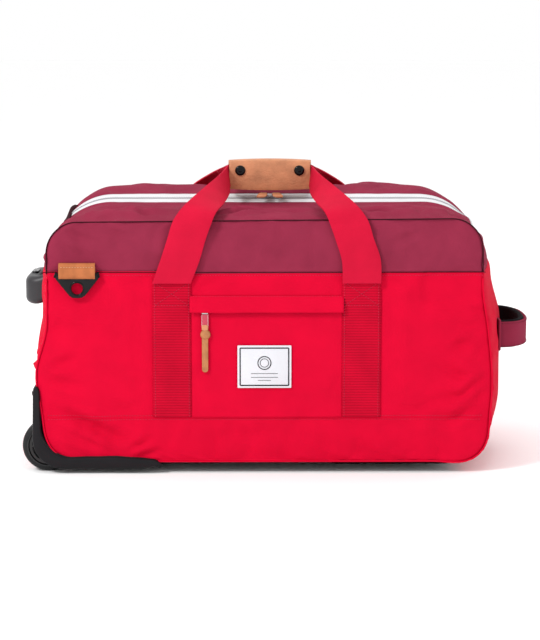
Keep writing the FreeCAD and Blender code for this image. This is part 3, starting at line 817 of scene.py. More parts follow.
def clear_of(spots, x, z):
    """The distance from a point on a face to the nearest of some boxes."""
    return min(math.hypot(max(x0 - x, 0, x - x1), max(z0 - z, 0, z - z1)) for x0, x1, z0, z1 in spots)


def proud(x, z):
    """How much further the cloth may stand out: more in the open, less under the ring plates."""
    return (6 * MM * ease((clear_of(FLAT_SPOTS, x, z) - 10 * MM) / (44 * MM))
            - 3.4 * MM * (1 - ease((clear_of(RING_SPOTS, x, z) - 3 * MM) / (12 * MM))))


for start, end, depth, width in END_CREASES:
    crease(gusset, start, end, END_DEPTH * depth, width)
for side in faces:
    for start, end, depth, width in FACE_CREASES:
        start, end = ((x, side * 165, z) for x, z in (start, end))
        crease(faces[side], start, end, FACE_DEPTH * depth, width)
pucker(gusset, 20 * MM, 3.4 * MM, gusset_place)
for side in faces:
    pucker(faces[side], 20 * MM, 2.4 * MM, face_place)
    for v in faces[side].data.vertices:
        v.co.y = side * min(abs(v.co.y), FACE + 1.4 * MM + proud(v.co.x, v.co.z))


def take_part(source, name, test, mat):
    """A new object from the faces of a source whose centres pass a test."""
    mesh = source.data.copy()
    with editing(mesh) as work:
        gone = [face for face in work.faces if not test(face.calc_center_median())]
        bmesh.ops.delete(work, geom=gone, context="FACES")
    mesh.materials.clear()
    mesh.materials.append(mat)
    obj = bpy.data.objects.new(name, mesh)
    bpy.context.scene.collection.objects.link(obj)
    return thicken(obj, 1.2 * MM)


def open_cloth(p):
    """False where the tray and the wheels take the cloth's place."""
    return not in_tray(p) and not in_well(p, 39.5 * MM)


def on_base(p):
    return p.z < BASE + 3 * MM and MID - LEFT_FULL + ROUND_LOW < p.x < MID + RIGHT_FULL - ROUND_LOW


GUSSET_PARTS = (
    ("base_cloth", "base_panel", BLACK_CLOTH, "black_fabric", lambda p: on_base(p)),
    ("left_end_cloth", "left_end_panel", RED, "red_fabric",
     lambda p: not on_base(p) and p.z < COLOUR_Z and p.x < MID),
    ("right_end_cloth", "right_end_panel", RED, "red_fabric",
     lambda p: not on_base(p) and p.z < COLOUR_Z and p.x > MID),
    ("top_front_cloth", "top_panel_front", MAROON, "maroon_fabric",
     lambda p: p.z > COLOUR_Z and p.y < -TAPE_HALF),
    ("top_rear_cloth", "top_panel_rear", MAROON, "maroon_fabric",
     lambda p: p.z > COLOUR_Z and p.y > TAPE_HALF),
    ("front_tape", "zip_tape_front", WHITE_TAPE, "zip_tape",
     lambda p: p.z > COLOUR_Z and -TAPE_HALF < p.y < 0),
    ("rear_tape", "zip_tape_rear", WHITE_TAPE, "zip_tape",
     lambda p: p.z > COLOUR_Z and 0 < p.y < TAPE_HALF),
)
for name, cad, mat, slot, test in GUSSET_PARTS:
    part = take_part(gusset, name, lambda p: test(p) and open_cloth(p), mat)
    finish_piece(part, "bag", slot, cad)
    "tape" not in name


def surface_of(obj):
    """A mesh's surface, to cast rays at."""
    work = bmesh.new()
    work.from_mesh(obj.data)
    tree = BVHTree.FromBMesh(work)
    work.free()
    return tree


surfaces = {side: surface_of(obj) for side, obj in faces.items()}
gusset_surface = surface_of(gusset)
for side, name in SIDES:
    for half, mat, slot, upper in (("upper", MAROON, "maroon_fabric", True),
                                   ("lower", RED, "red_fabric", False)):
        part = take_part(faces[side], f"{name}_{half}_cloth",
                         lambda p: (p.z > COLOUR_Z) == upper and open_cloth(p), mat)
        finish_piece(part, "bag", slot, f"{name}_panel_{half}")
for obj in (gusset, *faces.values()):
    bpy.data.objects.remove(obj)


def on_face(side, x, z, out=0.0):
    """The point on a face's cloth at x, z, raised outwards."""
    hit = surfaces[side].ray_cast(Vector((x, side * 0.4, z)), Vector((0, -side, 0)))[0]
    y = hit.y if hit else side * FACE
    return Vector((x, y + side * out, z))


def face_run(side, start, end, count, out):
    """Places for stitches on a face, evenly from one (x, z) to another."""
    return [(on_face(side, x, z, out), Vector((0, side, 0)))
            for x, z in zip(spread(start[0], end[0], count), spread(start[1], end[1], count))]


def upright_ring(middle, radius, count):
    """Points of a circle that stands facing the front."""
    return [middle + Vector((radius * math.cos(a), 0, radius * math.sin(a)))
            for a in spread(0, math.tau, count + 1)[:-1]]


# ------------------------------------------------------------------ seams


def seam_loop(side, out):
    """The seam between a face and the gusset, as points."""
    return [warp(Vector((x, side * SEAM_Y, z))) + Vector((0, side * out, 0)) for x, z in section(SEAM_Y)]


def part_of_loop(loop, above):
    """The run of a closed loop above or below the colour seam."""
    kept = [p for p in loop if (p.z > COLOUR_Z - 3 * MM) == above]
    start = max(range(len(kept)), key=lambda i: (kept[i - 1] - kept[i]).length)
    return kept[start:] + kept[:start]


def make_seams():
    """Piping round each face (dark along the top, as painted seam shadow), the colour seam (a dark cord of
    painted seam shadow), the lower seam and their stitches.
    """
    for side, name in SIDES:
        loop = seam_loop(side, 1.2 * MM)
        reach = HALF_SEAM - 2 * MM
        colour = [on_face(side, x, COLOUR_Z) for x in spread(MID - reach, MID + reach, 160)]
        # the top piping and the colour seam are dark as painted shade in the seam gaps
        for label, line, radius, mat, slot in (
                ("top_piping", part_of_loop(loop, True), 0.8 * MM, SEAM_SHADOW_AND_BINDING, "maroon_fabric"),
                ("red_piping", part_of_loop(loop, False), 1.2 * MM, RED, "red_fabric"),
                ("colour_seam", colour, 0.55 * MM, SEAM_SHADOW_AND_BINDING, "maroon_fabric")):
            finish_piece(tube(f"{name}_{label}", line, radius, mat), "bag", slot)
        inset, below = 4 * MM, COLOUR_Z - 4 * MM
        reach = half_width(COLOUR_Z) - inset
        plate = low(f"ring_plate_{name}").x - 5 * MM, high(f"ring_plate_{name}").x + 5 * MM
        ends = [((MID - reach, below), (plate[0], below)), ((plate[1], below), (MID + reach, below))]
        for z in (LOWER_SEAM - 2.5 * MM, LOWER_SEAM + 2.5 * MM):
            reach = half_width(z) - inset
            ends.append(((MID - reach, z), (MID + reach, z)))
        rows = [face_run(side, start, end, 120, 0.2 * MM) for start, end in ends]
        finish_piece(stitches(f"{name}_seam_stitches", rows, THREAD), "bag", "red_webbing")
        reach = HALF_SEAM - 3 * MM
        lower = [on_face(side, x, LOWER_SEAM) for x in spread(MID - reach, MID + reach, 160)]
        finish_piece(tube(f"{name}_lower_seam", lower, 0.5 * MM, RED), "bag", "red_fabric")


make_seams()

# ------------------------------------------------------------------ webbing and pocket


def patch_on_face(side, name, x_low, x_high, z_low, z_high, out, thick, mat, rib=0.0, step=3 * MM):
    """A strip laid on a face, following its cloth, with real ribs where asked."""
    rows = max(2, int((z_high - z_low) / step) + 1)
    cols = max(2, int((x_high - x_low) / (4 * MM)) + 1)

    def place(r, c):
        return mix(x_low, x_high, c / (cols - 1)), mix(z_low, z_high, r / (rows - 1))

    def point(r, c):
        x, z = place(r, c)
        edge = min(c, cols - 1 - c) == 0
        wave = rib * abs(math.sin(math.pi * z / RIB_PITCH))
        return on_face(side, x, z, out + wave - (0.3 * MM if edge else 0.0))

    obj = grid_object(name, rows, cols, point, mat, place)
    if side > 0:
        obj.data.flip_normals()
    return thicken(obj, thick)


def make_sewn_webbing():
    """The four sewn lengths, each with edge stitching and a crossed box at its top."""
    for side, face in SIDES:
        for hand in ("left", "right"):
            cad = f"sewn_webbing_{face}_{hand}"
            a, b = corners(cad)
            strip = patch_on_face(side, f"webbing_{face}_{hand}", a.x, b.x, a.z, b.z, 2.0 * MM,
                                  1.7 * MM, SEWN_WEB, 0.45 * MM, 0.7 * MM)
            finish_piece(strip, "bag", "red_webbing", cad)
            left, right, top = a.x + 3 * MM, b.x - 3 * MM, b.z - 3 * MM
            bottom = top - 30 * MM
            ends = [((x, a.z), (x, b.z), 60) for x in (left, right)]
            ends += [((left, z), (right, z), 14) for z in (top, bottom)]
            ends += [((x, bottom), (left + right - x, top), 14) for x in (left, right)]
            rows = [face_run(side, start, end, count, 2.7 * MM) for start, end, count in ends]
            finish_piece(stitches(f"stitching_{face}_{hand}", rows, THREAD), "bag", "red_webbing")


make_sewn_webbing()


def make_pocket():
    """The pocket's panel, its zip tape and the flap that stands over it."""
    a, b = corners("pocket_panel")
    a.x = high("sewn_webbing_front_left").x - 2 * MM
    b.x = low("sewn_webbing_front_right").x + 2 * MM
    zip_z = low("pocket_flap").z
    panel = patch_on_face(-1, "pocket_cloth", a.x, b.x, a.z, zip_z + 3 * MM, 1.5 * MM, 1.0 * MM, RED)
    finish_piece(panel, "bag", "red_fabric", "pocket_panel")
    tape = patch_on_face(-1, "pocket_tape", a.x, b.x, zip_z, zip_z + 9 * MM, 2.0 * MM, 0.6 * MM,
                         BLACK_CLOTH)
    finish_piece(tape, "bag", "zip_tape", "pocket_zip_tape")
    top = high("pocket_flap").z
    rows, cols = 12, 60

    def point(r, c):
        share = r / (rows - 1)
        x, z = mix(a.x, b.x, c / (cols - 1)), mix(zip_z, top, share)
        sag = 0.6 * MM * noise.noise(Vector((x * 22, 0, 5))) * (1 - share)
        return Vector((x, min(on_face(-1, x, z).y, -FACE) - 6.2 * MM * (1 - share ** 3) - 1.0 * MM,
                       z + sag))

    flap = grid_object("pocket_flap_cloth", rows, cols, point, RED,
                       lambda r, c: (mix(a.x, b.x, c / (cols - 1)), (top - zip_z) * r / (rows - 1)))
    finish_piece(thicken(flap, 1.0 * MM), "bag", "red_fabric", "pocket_flap")
    run = face_run(-1, (a.x, top - 1 * MM), (b.x, top - 1 * MM), 80, 1.6 * MM)
    finish_piece(stitches("pocket_stitches", [run], THREAD), "bag", "red_webbing")


make_pocket()


def make_label():
    """A woven patch with a plain border and a simple rule-and-disc motif."""
    spot, size = centre("label"), high("label") - low("label")
    y = on_face(-1, spot.x, spot.z).y - 3.3 * MM
    plate = prism("label_plate", rounded(size.x, size.z, 1 * MM), 0.8 * MM,
                  facing(-1, spot.x, y, spot.z), LABEL_WHITE)
    finish_piece(plate, "bag", "label_white", "label")
    front = y - 0.55 * MM
    inner, line = 3.4 * MM, 1.5 * MM
    bars = []
    for sign in (-1, 1):
        bars.append((size.x - 2 * inner, line, 0, sign * (size.z / 2 - inner)))
        bars.append((line, size.z - 2 * inner, sign * (size.x / 2 - inner), 0))
    bars += [(size.x * 0.5, 0.5 * MM, 0, -9 * MM), (size.x * 0.5, 0.5 * MM, 0, -14 * MM),
             (size.x * 0.24, 0.5 * MM, 0, -18 * MM)]
    for i, (wide, tall, dx, dz) in enumerate(bars):
        bar = prism(f"label_rule_{i}", rounded(wide, tall, min(wide, tall) * 0.3, 2), 0.3 * MM,
                    facing(-1, spot.x + dx, front, spot.z + dz), LABEL_INK, 0.05 * MM)
        finish_piece(bar, "bag", "label_white")
    for i, (radius, thick) in enumerate(((8.5 * MM, 0.55 * MM), (5.5 * MM, 0.35 * MM))):
        ring = upright_ring(Vector((spot.x, front, spot.z + 5 * MM)), radius, 48)
        finish_piece(tube(f"label_ring_{i}", ring, thick, LABEL_INK, True), "bag", "label_white")


make_label()

# ------------------------------------------------------------------ carrying straps and grip


def curve_through(points, share):
    """A smooth curve through points, by Catmull-Rom; share runs 0 to 1."""
    spans = len(points) - 1
    i = min(int(share * spans), spans - 1)
    t = share * spans - i
    p0, p1 = points[max(i - 1, 0)], points[i]
    p2, p3 = points[i + 1], points[min(i + 2, spans)]
    return 0.5 * ((2 * p1) + (p2 - p0) * t + (2 * p0 - 5 * p1 + 4 * p2 - p3) * t * t
                  + (3 * p1 - p0 - 3 * p2 + p3) * t ** 3)


def beside(route, share):
    """A point on a level route, and the level direction to its right."""
    q = curve_through(route, min(1.0, share + 0.01)) - curve_through(route, max(0.0, share - 0.01))
    return curve_through(route, share), Vector((q.y, -q.x, 0)).normalized()


GRIP_X = centre("grip_wrap").x
# the left half of each strap edge in mm: out from the grip's middle, out from the bag's middle, height
OUTER_EDGE = ((142, 170.5, 283), (133, 171, 310), (125, 171, 334), (110, 159, 353), (84, 106, 373),
              (64, 48, 387), (56.5, 12, 392.5), (46, 9.5, 393))
INNER_EDGE = ((92, 170.5, 281), (84, 171, 308), (78, 171, 325), (70, 168, 344), (60, 124, 352.5),
              (55, 56, 358.5), (54, 15, 366), (46, 9.5, 367))


def strap_edges(side):
    """Both edges of a strap from one patch over the grip to the other."""
    lift = 8 if side > 0 else 0
    halves = {}
    for hand, patch in ((-1, "left"), (1, "right")):
        a, b = corners(f"sewn_webbing_front_{patch}")
        ends = (a.x, b.x) if hand < 0 else (b.x, a.x)
        edges = []
        for start, edge, most in zip(ends, (OUTER_EDGE, INNER_EDGE), (0, lift)):
            rise = [most * ease((170 - y) / 60) * ease((y - 20) / 40) for _, y, _ in edge]
            edges.append([Vector((start, side * (FACE + 5 * MM), a.z + 176 * MM))]
                         + [Vector((GRIP_X + hand * x * MM, side * y * MM, (z + up) * MM))
                            for (x, y, z), up in zip(edge, rise)])
        halves[hand] = edges
    return [halves[-1][i] + halves[1][i][::-1] for i in (0, 1)]


def make_carry_straps():
    """The two free straps, which run between the shell and the lifted grip."""
    for side, name in SIDES:
        outer, inner = strap_edges(side)
        rows, cols = 260, 11

        def point(r, c):
            a = curve_through(outer, r / (rows - 1))
            b = curve_through(inner, r / (rows - 1))
            across = c / (cols - 1)
            cup = Vector((0, side, 0)) * 1.2 * MM * math.sin(math.pi * across)
            return mix(a, b, across) + cup * ease(min(r, rows - 1 - r) / 30)

        strap = grid_object(f"strap_{name}", rows, cols, point, FREE_WEB,
                            lambda r, c: (50 * MM * c / (cols - 1), r * 3.0 * MM))
        thicken(strap, 2.2 * MM, 0.0)
        bevel(strap, 0.6 * MM, 2)
        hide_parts(f"carry_strap_{name}")
        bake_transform(strap)


make_carry_straps()


def barrel(share):
    """How much the grip swells at a share of its length."""
    return 1 + 0.09 * (1 - (2 * share - 1) ** 2)


def squared(value):
    """A sine or cosine drawn out, so that a circle becomes a rounded square."""
    return math.copysign(abs(value) ** 0.55, value)


def make_wrap(lo, hi, mid, half):
    """The leather that goes round the straps, open towards the front."""
    angles = [math.radians(angle) for angle in spread(-115, 208, 46)]
    path = [(squared(math.cos(a)), squared(math.sin(a))) for a in angles]
    path = [(y, z) for y, z in path if y > -0.86]
    rows = 40

    def point(r, c):
        share = r / (rows - 1)
        y, z = path[c]
        full = barrel(share)
        return Vector((mix(lo.x, hi.x, share), 14.2 * MM * y * full,
                       mid.z + half.z * z * full - (1 - full) * 3 * MM))

    wrap = grid_object("leather_wrap", rows, len(path), point, LEATHER)
    finish_piece(thicken(wrap, 2.0 * MM, 0.0), "carry_handle", "tan_leather", "grip_wrap")


def make_cover(lo, hi, mid, half):
    """The front flap, a little crowned."""
    rows, cols = 40, 14
    x_low, x_high = lo.x + 1 * MM, hi.x - 1 * MM

    def point(r, c):
        share, up = r / (rows - 1), 2 * c / (cols - 1) - 1
        full = barrel(share)
        return Vector((mix(x_low, x_high, share),
                       -(14.6 + 2.0 * (1 - abs(up) ** 2.5)) * MM * full,
                       mid.z + half.z * up * full * 0.99))

    cover = grid_object("leather_cover", rows, cols, point, LEATHER)
    cover.data.flip_normals()
    finish_piece(bevel(thicken(cover, 2.2 * MM, 0.0), 0.5 * MM, 2), "grip_cover", "tan_leather",
                 "grip_flap")


def make_snap_caps():
    """Two ringed snap caps on the flap."""
    lo, hi = corners("snap_caps")
    profile = in_mm((0.01, 2.6), (2.2, 2.5), (3.0, 2.0), (3.8, 2.3), (5.6, 1.9), (6.8, 1.0), (7.0, 0.2),
                    (6.6, -0.6))
    for i, hand in enumerate((-1, 1)):
        spot = Vector((centre("snap_caps").x + hand * (hi.x - lo.x - 11 * MM) / 2, -19.4 * MM,
                       centre("snap_caps").z))
        cap = lathe(f"snap_cap_{i}", profile, spot, (0, -1, 0), BLACK_METAL, 36)
        finish_piece(cap, "grip_cover", "black_metal", *(["snap_caps"] if i == 0 else []))


def make_grip():
    """The leather wrap, barrel-shaped, with its front flap and snaps."""
    lo, hi = corners("grip_wrap")
    mid, half = (lo + hi) / 2, (hi - lo) / 2
    make_wrap(lo, hi, mid, half)
    make_cover(lo, hi, mid, half)
    make_snap_caps()


make_grip()

# ------------------------------------------------------------------ zips


def make_zip():
    """The coil's teeth along the ridge, and the two top sliders with their pulls."""
    ridge = []
    for i, (x, z) in enumerate(section(0.0)):
        if span_of(i) in UPPER_SPANS:
            p = warp(Vector((x, 0, z)))
            ridge.append((p.x, p.z))
    path = [p for p in resample(ridge, 420) if p[0] > TRAY_BACK]
    verts, faces = [], []
    for i, (x, z) in enumerate(path[1:-1], start=1):
        way = Vector((path[i + 1][0] - path[i - 1][0], 0, path[i + 1][1] - path[i - 1][1])).normalized()
        up = Vector((way.z, 0, -way.x))
        up = up if up.z >= 0 or abs(way.x) < 0.5 else -up
        sign = 1 if i % 2 else -1
        base = len(verts)
        spot = Vector((x, sign * 1.0 * MM, z))
        spot = (gusset_surface.ray_cast(spot + up * 20 * MM, -up)[0] or spot) + up * 0.3 * MM
        for a, b, c in ((-1, -1, 0), (1, -1, 0), (1, 1, 0), (-1, 1, 0),
                        (-1, -0.6, 1), (1, -0.6, 1), (1, 0.6, 1), (-1, 0.6, 1)):
            verts.append(spot + way * a * 0.62 * MM + Vector((0, b * 2.0 * MM, 0)) + up * c * 0.9 * MM)
        faces += [tuple(base + k for k in quad) for quad in
                  ((0, 3, 2, 1), (4, 5, 6, 7), (0, 1, 5, 4), (1, 2, 6, 5), (2, 3, 7, 6), (3, 0, 4, 7))]
    coil = mesh_object("zip_teeth", verts, faces, WHITE_COIL)
    finish_piece(bevel(coil, 0.15 * MM, 1), "bag", "zip_coil", "zip_chain")
    for side, name in ((-1, "left"), (1, "right")):
        make_slider(side, name)


def make_slider(side, name):
    """A cast slider with its bridge, and the pull that hangs from it."""
    spot, body = centre(f"zip_slider_{name}"), f"top_slider_{name}"
    outline = [(x * (1 - 0.12 * (y > 0)), y) for x, y in rounded(8 * MM, 12 * MM, 2.5 * MM)]
    flat = Matrix.Translation((spot.x, spot.y, low(f"zip_slider_{name}").z + 0.9 * MM))
    turn = Matrix.Rotation(-side * math.pi / 2, 4, "Z")
    plate = prism(f"slider_plate_{name}", outline, 1.6 * MM, flat @ turn, SILVER, 0.4 * MM)
    finish_piece(plate, body, "slider_metal", f"zip_slider_{name}")
    bridge = [Vector((spot.x + a, 0, spot.z + b)) for a, b in
              in_mm((-4, -0.8), (-3.4, 1.4), (0, 2.2), (3.4, 1.4), (4, -0.8))]
    finish_piece(tube(f"slider_bridge_{name}", bridge, 0.9 * MM, SILVER), body, "slider_metal")
    make_top_pull(side, name, spot.x)


def make_top_pull(side, name, x):
    """A wire bail and a leather strip folded over it, which widens towards its round end."""
    pull, body = f"zip_pull_{name}", f"top_pull_{name}"
    a, b = corners(pull)
    y_top = b.y - 2 * MM
    bail = [Vector((x + 3.6 * MM * math.cos(t), y_top + 3.5 * MM + 3.8 * MM * math.sin(t),
                    b.z + 0.4 * MM + 0.8 * MM * math.sin(t))) for t in spread(0, math.tau, 25)[:-1]]
    finish_piece(tube(f"slider_bail_{name}", bail, 0.65 * MM, SILVER, True), body, "slider_metal")
    rows, cols = 26, 8
    fold = [Vector((0, y, b.z + z * MM)) for y, z in
            ((y_top + 1.0 * MM, 0.2), (y_top + 1.6 * MM, 1.4), (y_top - 2 * MM, 2.6),
             (y_top - 9 * MM, 3.0), (a.y + 7 * MM, 1.9), (a.y + 2.2 * MM, 0.4), (a.y + 2.6 * MM, -1.4))]

    def point(r, c):
        share = r / (rows - 1)
        p = curve_through(fold, share)
        rounding = max(0.0, (share - 0.86) / 0.14)
        wide = (3.2 + 3.2 * ease((share - 0.3) / 0.45)) * MM * math.sqrt(max(0.02, 1 - rounding ** 2))
        return Vector((x + wide * (2 * c / (cols - 1) - 1) + side * 6 * MM * share ** 2, p.y, p.z))

    leather = grid_object(f"leather_pull_{name}", rows, cols, point, LEATHER)
    finish_piece(bevel(thicken(leather, 1.7 * MM, 0.0), 0.3 * MM, 2), body, "tan_leather", pull)


make_zip()


PULL_LOW, PULL_HIGH = corners("pocket_pull_tape")
PULL_X = centre("pocket_slider").x
PULL_Y = centre("pocket_pull_tape").y


def make_pull_tape():
    """The tab of tape that the slider carries, stitched along its edges."""
    tab = prism("pull_tape", rounded(9.5 * MM, 18 * MM, 1 * MM), 1.6 * MM,
                facing(-1, PULL_X, PULL_Y, PULL_HIGH.z - 6 * MM), PINK_TAPE, 0.4 * MM)
    finish_piece(tab, "front_pull", "pink_tape", "pocket_pull_tape")
    edges = [[(Vector((PULL_X + dx, PULL_Y - 0.8 * MM, z)), Vector((0, -1, 0)))
              for z in spread(PULL_LOW.z, PULL_HIGH.z + 2 * MM, 8)] for dx in (-3.9 * MM, 3.9 * MM)]
    finish_piece(stitches("pull_tape_stitches", edges, WHITE_TAPE, 1.6 * MM, 1.2 * MM, 0.7 * MM),
                 "front_pull", "pink_tape")


def make_pull_tail():
    """The leather tail, with the keeper and the knot that hold it to the tape."""
    keeper = prism("pull_keeper", rounded(8.5 * MM, 7.5 * MM, 2 * MM), 3.2 * MM,
                   facing(-1, PULL_X, PULL_Y - 0.2 * MM, PULL_LOW.z - 0.5 * MM), LEATHER, 0.8 * MM)
    finish_piece(keeper, "front_pull", "tan_leather")
    knot = lathe("pull_knot", in_mm((0.01, 2.0), (3.0, 1.9), (5.4, 1.2), (6.6, 0), (5.4, -1.0), (0.01, -1.2)),
                 (PULL_X + 0.5 * MM, PULL_Y - 0.4 * MM, PULL_LOW.z - 9.5 * MM), (0, -1, 0), PALE_LEATHER, 30)
    finish_piece(knot, "front_pull", "tan_leather")
    top, bottom = PULL_LOW.z - 12 * MM, low("pocket_pull_tail").z
    tail = prism("pull_tail", rounded(8 * MM, top - bottom, 3.9 * MM), 2.0 * MM,
                 facing(-1, PULL_X, PULL_Y, (top + bottom) / 2), PALE_LEATHER, 0.4 * MM)
    finish_piece(tail, "front_pull", "tan_leather", "pocket_pull_tail")


def make_pocket_pull():
    """The pocket's slider with its tape tab and leather tail."""
    slider = centre("pocket_slider")
    plate = prism("pocket_slider_plate", rounded(8 * MM, 7 * MM, 2 * MM), 2.6 * MM,
                  facing(-1, slider.x, slider.y, slider.z - 1 * MM), SILVER, 0.5 * MM)
    finish_piece(plate, "front_slider", "slider_metal", "pocket_slider")
    make_pull_tape()
    make_pull_tail()


make_pocket_pull()

# ------------------------------------------------------------------ shoulder-strap rings


def make_rings():
    """The plates that a shoulder strap hooks to, with the leather that holds them."""
    for side, name in SIDES:
        cad = f"ring_plate_{name}"
        spot, a, b = centre(cad), low(cad), high(cad)
        body = f"strap_ring_{name}"
        drop = b.z - a.z
        half = (b.x - a.x) / 2
        outline = [(half - 1 * MM, 2.5 * MM), (half, -1 * MM), (half - 1.5 * MM, -5 * MM),
                   (10 * MM, 3 * MM - drop), (6 * MM, 0.6 * MM - drop), (0, -drop)]
        outline = outline + [(-x, y) for x, y in outline[-2::-1]]
        eye_drop, eye_r = 17.7 * MM, 7.6 * MM
        eye = [(eye_r * math.cos(t), eye_r * math.sin(t) - eye_drop)
               for t in spread(math.pi / 2, math.pi / 2 + math.tau, 33)]
        plate = holed_plate(f"strap_plate_{name}", outline, eye, 2.8 * MM,
                            facing(side, spot.x, spot.y, b.z), BLACK_METAL)
        finish_piece(plate, body, "black_metal", cad)
        rim = upright_ring(Vector((spot.x, spot.y + side * 1.2 * MM, b.z - eye_drop)),
                           eye_r + 1 * MM, 40)
        finish_piece(tube(f"strap_eye_rim_{name}", rim, 1.0 * MM, BLACK_METAL, True), body, "black_metal")
        for hand in (-1, 1):
            x = spot.x + hand * (half - 1.2 * MM)
            ear = [Vector((x + hand * 0.8 * MM * math.cos(t), spot.y + side * (1.2 - 0.6 * t) * MM,
                           b.z + (t * 2.0 - 3) * MM)) for t in spread(0, math.pi, 9)]
            finish_piece(tube(f"strap_ear_{name}_{'l' if hand < 0 else 'r'}", ear, 1.5 * MM,
                              BLACK_METAL), body, "black_metal")
        loop_leather(side, name, spot, b.z)


def holed_plate(name, outline, hole, thick, matrix, mat):
    """A plate with one round hole; outline and hole both start at the top middle."""
    start = min(range(len(outline)), key=lambda i: (abs(outline[i][0]), -outline[i][1]))
    dense = []
    ring = outline[start:] + outline[:start]
    for p, q in zip(ring, ring[1:] + ring[:1]):
        dense += [(mix(p[0], q[0], i / 6), mix(p[1], q[1], i / 6)) for i in range(6)]
    middle = Vector((sum(p[0] for p in hole) / len(hole), sum(p[1] for p in hole) / len(hole)))
    angle = lambda p: math.atan2(p[1] - middle.y, p[0] - middle.x) % math.tau
    dense.sort(key=angle)
    count = len(dense)
    radius = (Vector(hole[0]) - middle).length
    inner = [(middle.x + radius * math.cos(angle(p)), middle.y + radius * math.sin(angle(p)))
             for p in dense]
    verts = [matrix @ Vector((x, y, z)) for z in (-thick / 2, thick / 2) for x, y in dense + inner]
    faces = []
    for i in range(count):
        j, back = (i + 1) % count, 2 * count
        faces.append((i, j, count + j, count + i)[::-1])
        faces.append((back + i, back + j, back + count + j, back + count + i))
        faces.append((i, back + i, back + j, j)[::-1])
        faces.append((count + i, count + j, back + count + j, back + count + i)[::-1])
    obj = mesh_object(name, verts, faces, mat)
    return bevel(obj, 0.6 * MM, 3)


def loop_leather(side, name, spot, bar_z):
    """The leather loop that is sewn to the face and wraps the plate's top bar."""
    half = 23.5 * MM
    y0, y1 = FACE + 0.8 * MM, FACE + 7.6 * MM
    route = [Vector((0, y0 + 1.2 * MM, bar_z + 15 * MM)), Vector((0, y1 - 1.6 * MM, bar_z + 13 * MM)),
             Vector((0, y1 - 0.4 * MM, bar_z + 6 * MM)), Vector((0, y1, bar_z + 0.5 * MM)),
             Vector((0, y1 - 1.2 * MM, bar_z - 3.6 * MM)), Vector((0, y0 + 2.6 * MM, bar_z - 3.6 * MM)),
             Vector((0, y0 + 0.8 * MM, bar_z + 2 * MM)), Vector((0, y0 + 0.6 * MM, bar_z + 10 * MM))]
    rows, cols = 40, 14

    def point(r, c):
        p = curve_through(route, r / (rows - 1))
        return Vector((spot.x - half + 2 * half * c / (cols - 1), side * p.y, p.z))

    obj = grid_object(f"leather_loop_{name}", rows, cols, point, TAB_LEATHER,
                      lambda r, c: (2 * half * c / (cols - 1), r * 1.2 * MM))
    thicken(obj, 1.6 * MM, 0.0)
    bevel(obj, 0.3 * MM, 2)
    if side < 0:
        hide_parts("ring_patches")
    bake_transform(obj)
    run = [(Vector((x, side * (y1 + 0.9 * MM), bar_z + 10.5 * MM)), Vector((0, side, 0)))
           for x in spread(spot.x - half + 2 * MM, spot.x + half - 2 * MM, 12)]
    finish_piece(stitches(f"loop_stitches_{name}", [run], LEATHER_EDGE), "bag", "tan_leather")


make_rings()

# ------------------------------------------------------------------ end handle


HANDLE_LOW, HANDLE_HIGH = corners("side_handle_pad")
HANDLE_Z = (HANDLE_LOW.z + HANDLE_HIGH.z) / 2
HANDLE_HALF = (HANDLE_HIGH.z - HANDLE_LOW.z) / 2
HANDLE_ROOT = MID + RIGHT_FULL - 6 * MM
HANDLE_REACH = 76 * MM


def handle_route():
    """The end handle's bow as seen from above, from one sewn patch to the other."""
    tip = HANDLE_HIGH.x
    route = [(HANDLE_ROOT - 2 * MM, -HANDLE_REACH), (HANDLE_ROOT + 8 * MM, -HANDLE_REACH),
             (tip - 22 * MM, -69 * MM), (tip - 10 * MM, -48 * MM), (tip - 5.6 * MM, -18 * MM)]
    return [Vector((x, y, 0)) for x, y in route + [(x, -y) for x, y in route[::-1]]]


def bend_at_root(obj):
    """Keep a piece of the end handle where it stands, with its placement baked into the mesh."""
    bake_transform(obj)


def make_handle_layer(route, name, mat, out, thick, cad, tall, plump_by):
    """One layer of the end handle, swept along the bow."""
    ring = rounded(thick, 2 * HANDLE_HALF * tall, thick * 0.48, 5)
    rows, cols = 90, len(ring)

    def point(r, c):
        p, normal = beside(route, r / (rows - 1))
        a, b = ring[c]
        plump = 1 + plump_by * (1 - (b / HANDLE_HALF) ** 2)
        wrinkle = 0.5 * MM * noise.noise(Vector((p.y * 60, b * 50, out * 900)))
        return p + normal * (out + a * plump + wrinkle * (abs(b) < HANDLE_HALF * 0.9)) \
            + Vector((0, 0, HANDLE_Z + b))

    obj = grid_object(name, rows, cols, point, mat,
                      lambda r, c: (r * 2.6 * MM, ring[c][1] + 3 * ring[c][0]), wrap=True)
    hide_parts(cad)
    bend_at_root(obj)


def make_handle_stitches(route):
    """A row of stitches along each edge of the end handle."""
    rows = []
    for edge in (-1, 1):
        run = []
        for share in spread(0.06, 0.94, 80):
            p, normal = beside(route, share)
            z = HANDLE_Z + edge * (HANDLE_HALF - 3 * MM)
            run.append((p + normal * 4.9 * MM + Vector((0, 0, z)), normal))
        rows.append(run)
    thread = stitches("handle_stitches", rows, MAROON_THREAD)
    bend_at_root(thread)


def make_side_handle():
    """The padded end handle: its maroon outside, black lining, stitches and two sewn patches."""
    route = handle_route()
    make_handle_layer(route, "padded_handle", MAROON, 2.4 * MM, 3.6 * MM,
                      "side_handle_pad", 0.95, 0.5)
    make_handle_layer(route, "handle_lining", BLACK_CLOTH, -3.3 * MM, 7.4 * MM,
                      "side_handle_lining", 1.04, 0)
    make_handle_stitches(route)
    upright = Matrix.Rotation(math.pi / 2, 4, "Z") @ Matrix.Rotation(math.pi / 2, 4, "X")
    for side, name in SIDES:
        at = Matrix.Translation((HANDLE_ROOT - 0.5 * MM, side * HANDLE_REACH, HANDLE_Z))
        patch = prism(f"handle_patch_{name}", rounded(30 * MM, 42 * MM, 4 * MM), 3.0 * MM, at @ upright,
                      MAROON, 0.8 * MM)
        finish_piece(patch, "bag", "black_fabric", *(["side_handle_anchors"] if side < 0 else []))


make_side_handle()

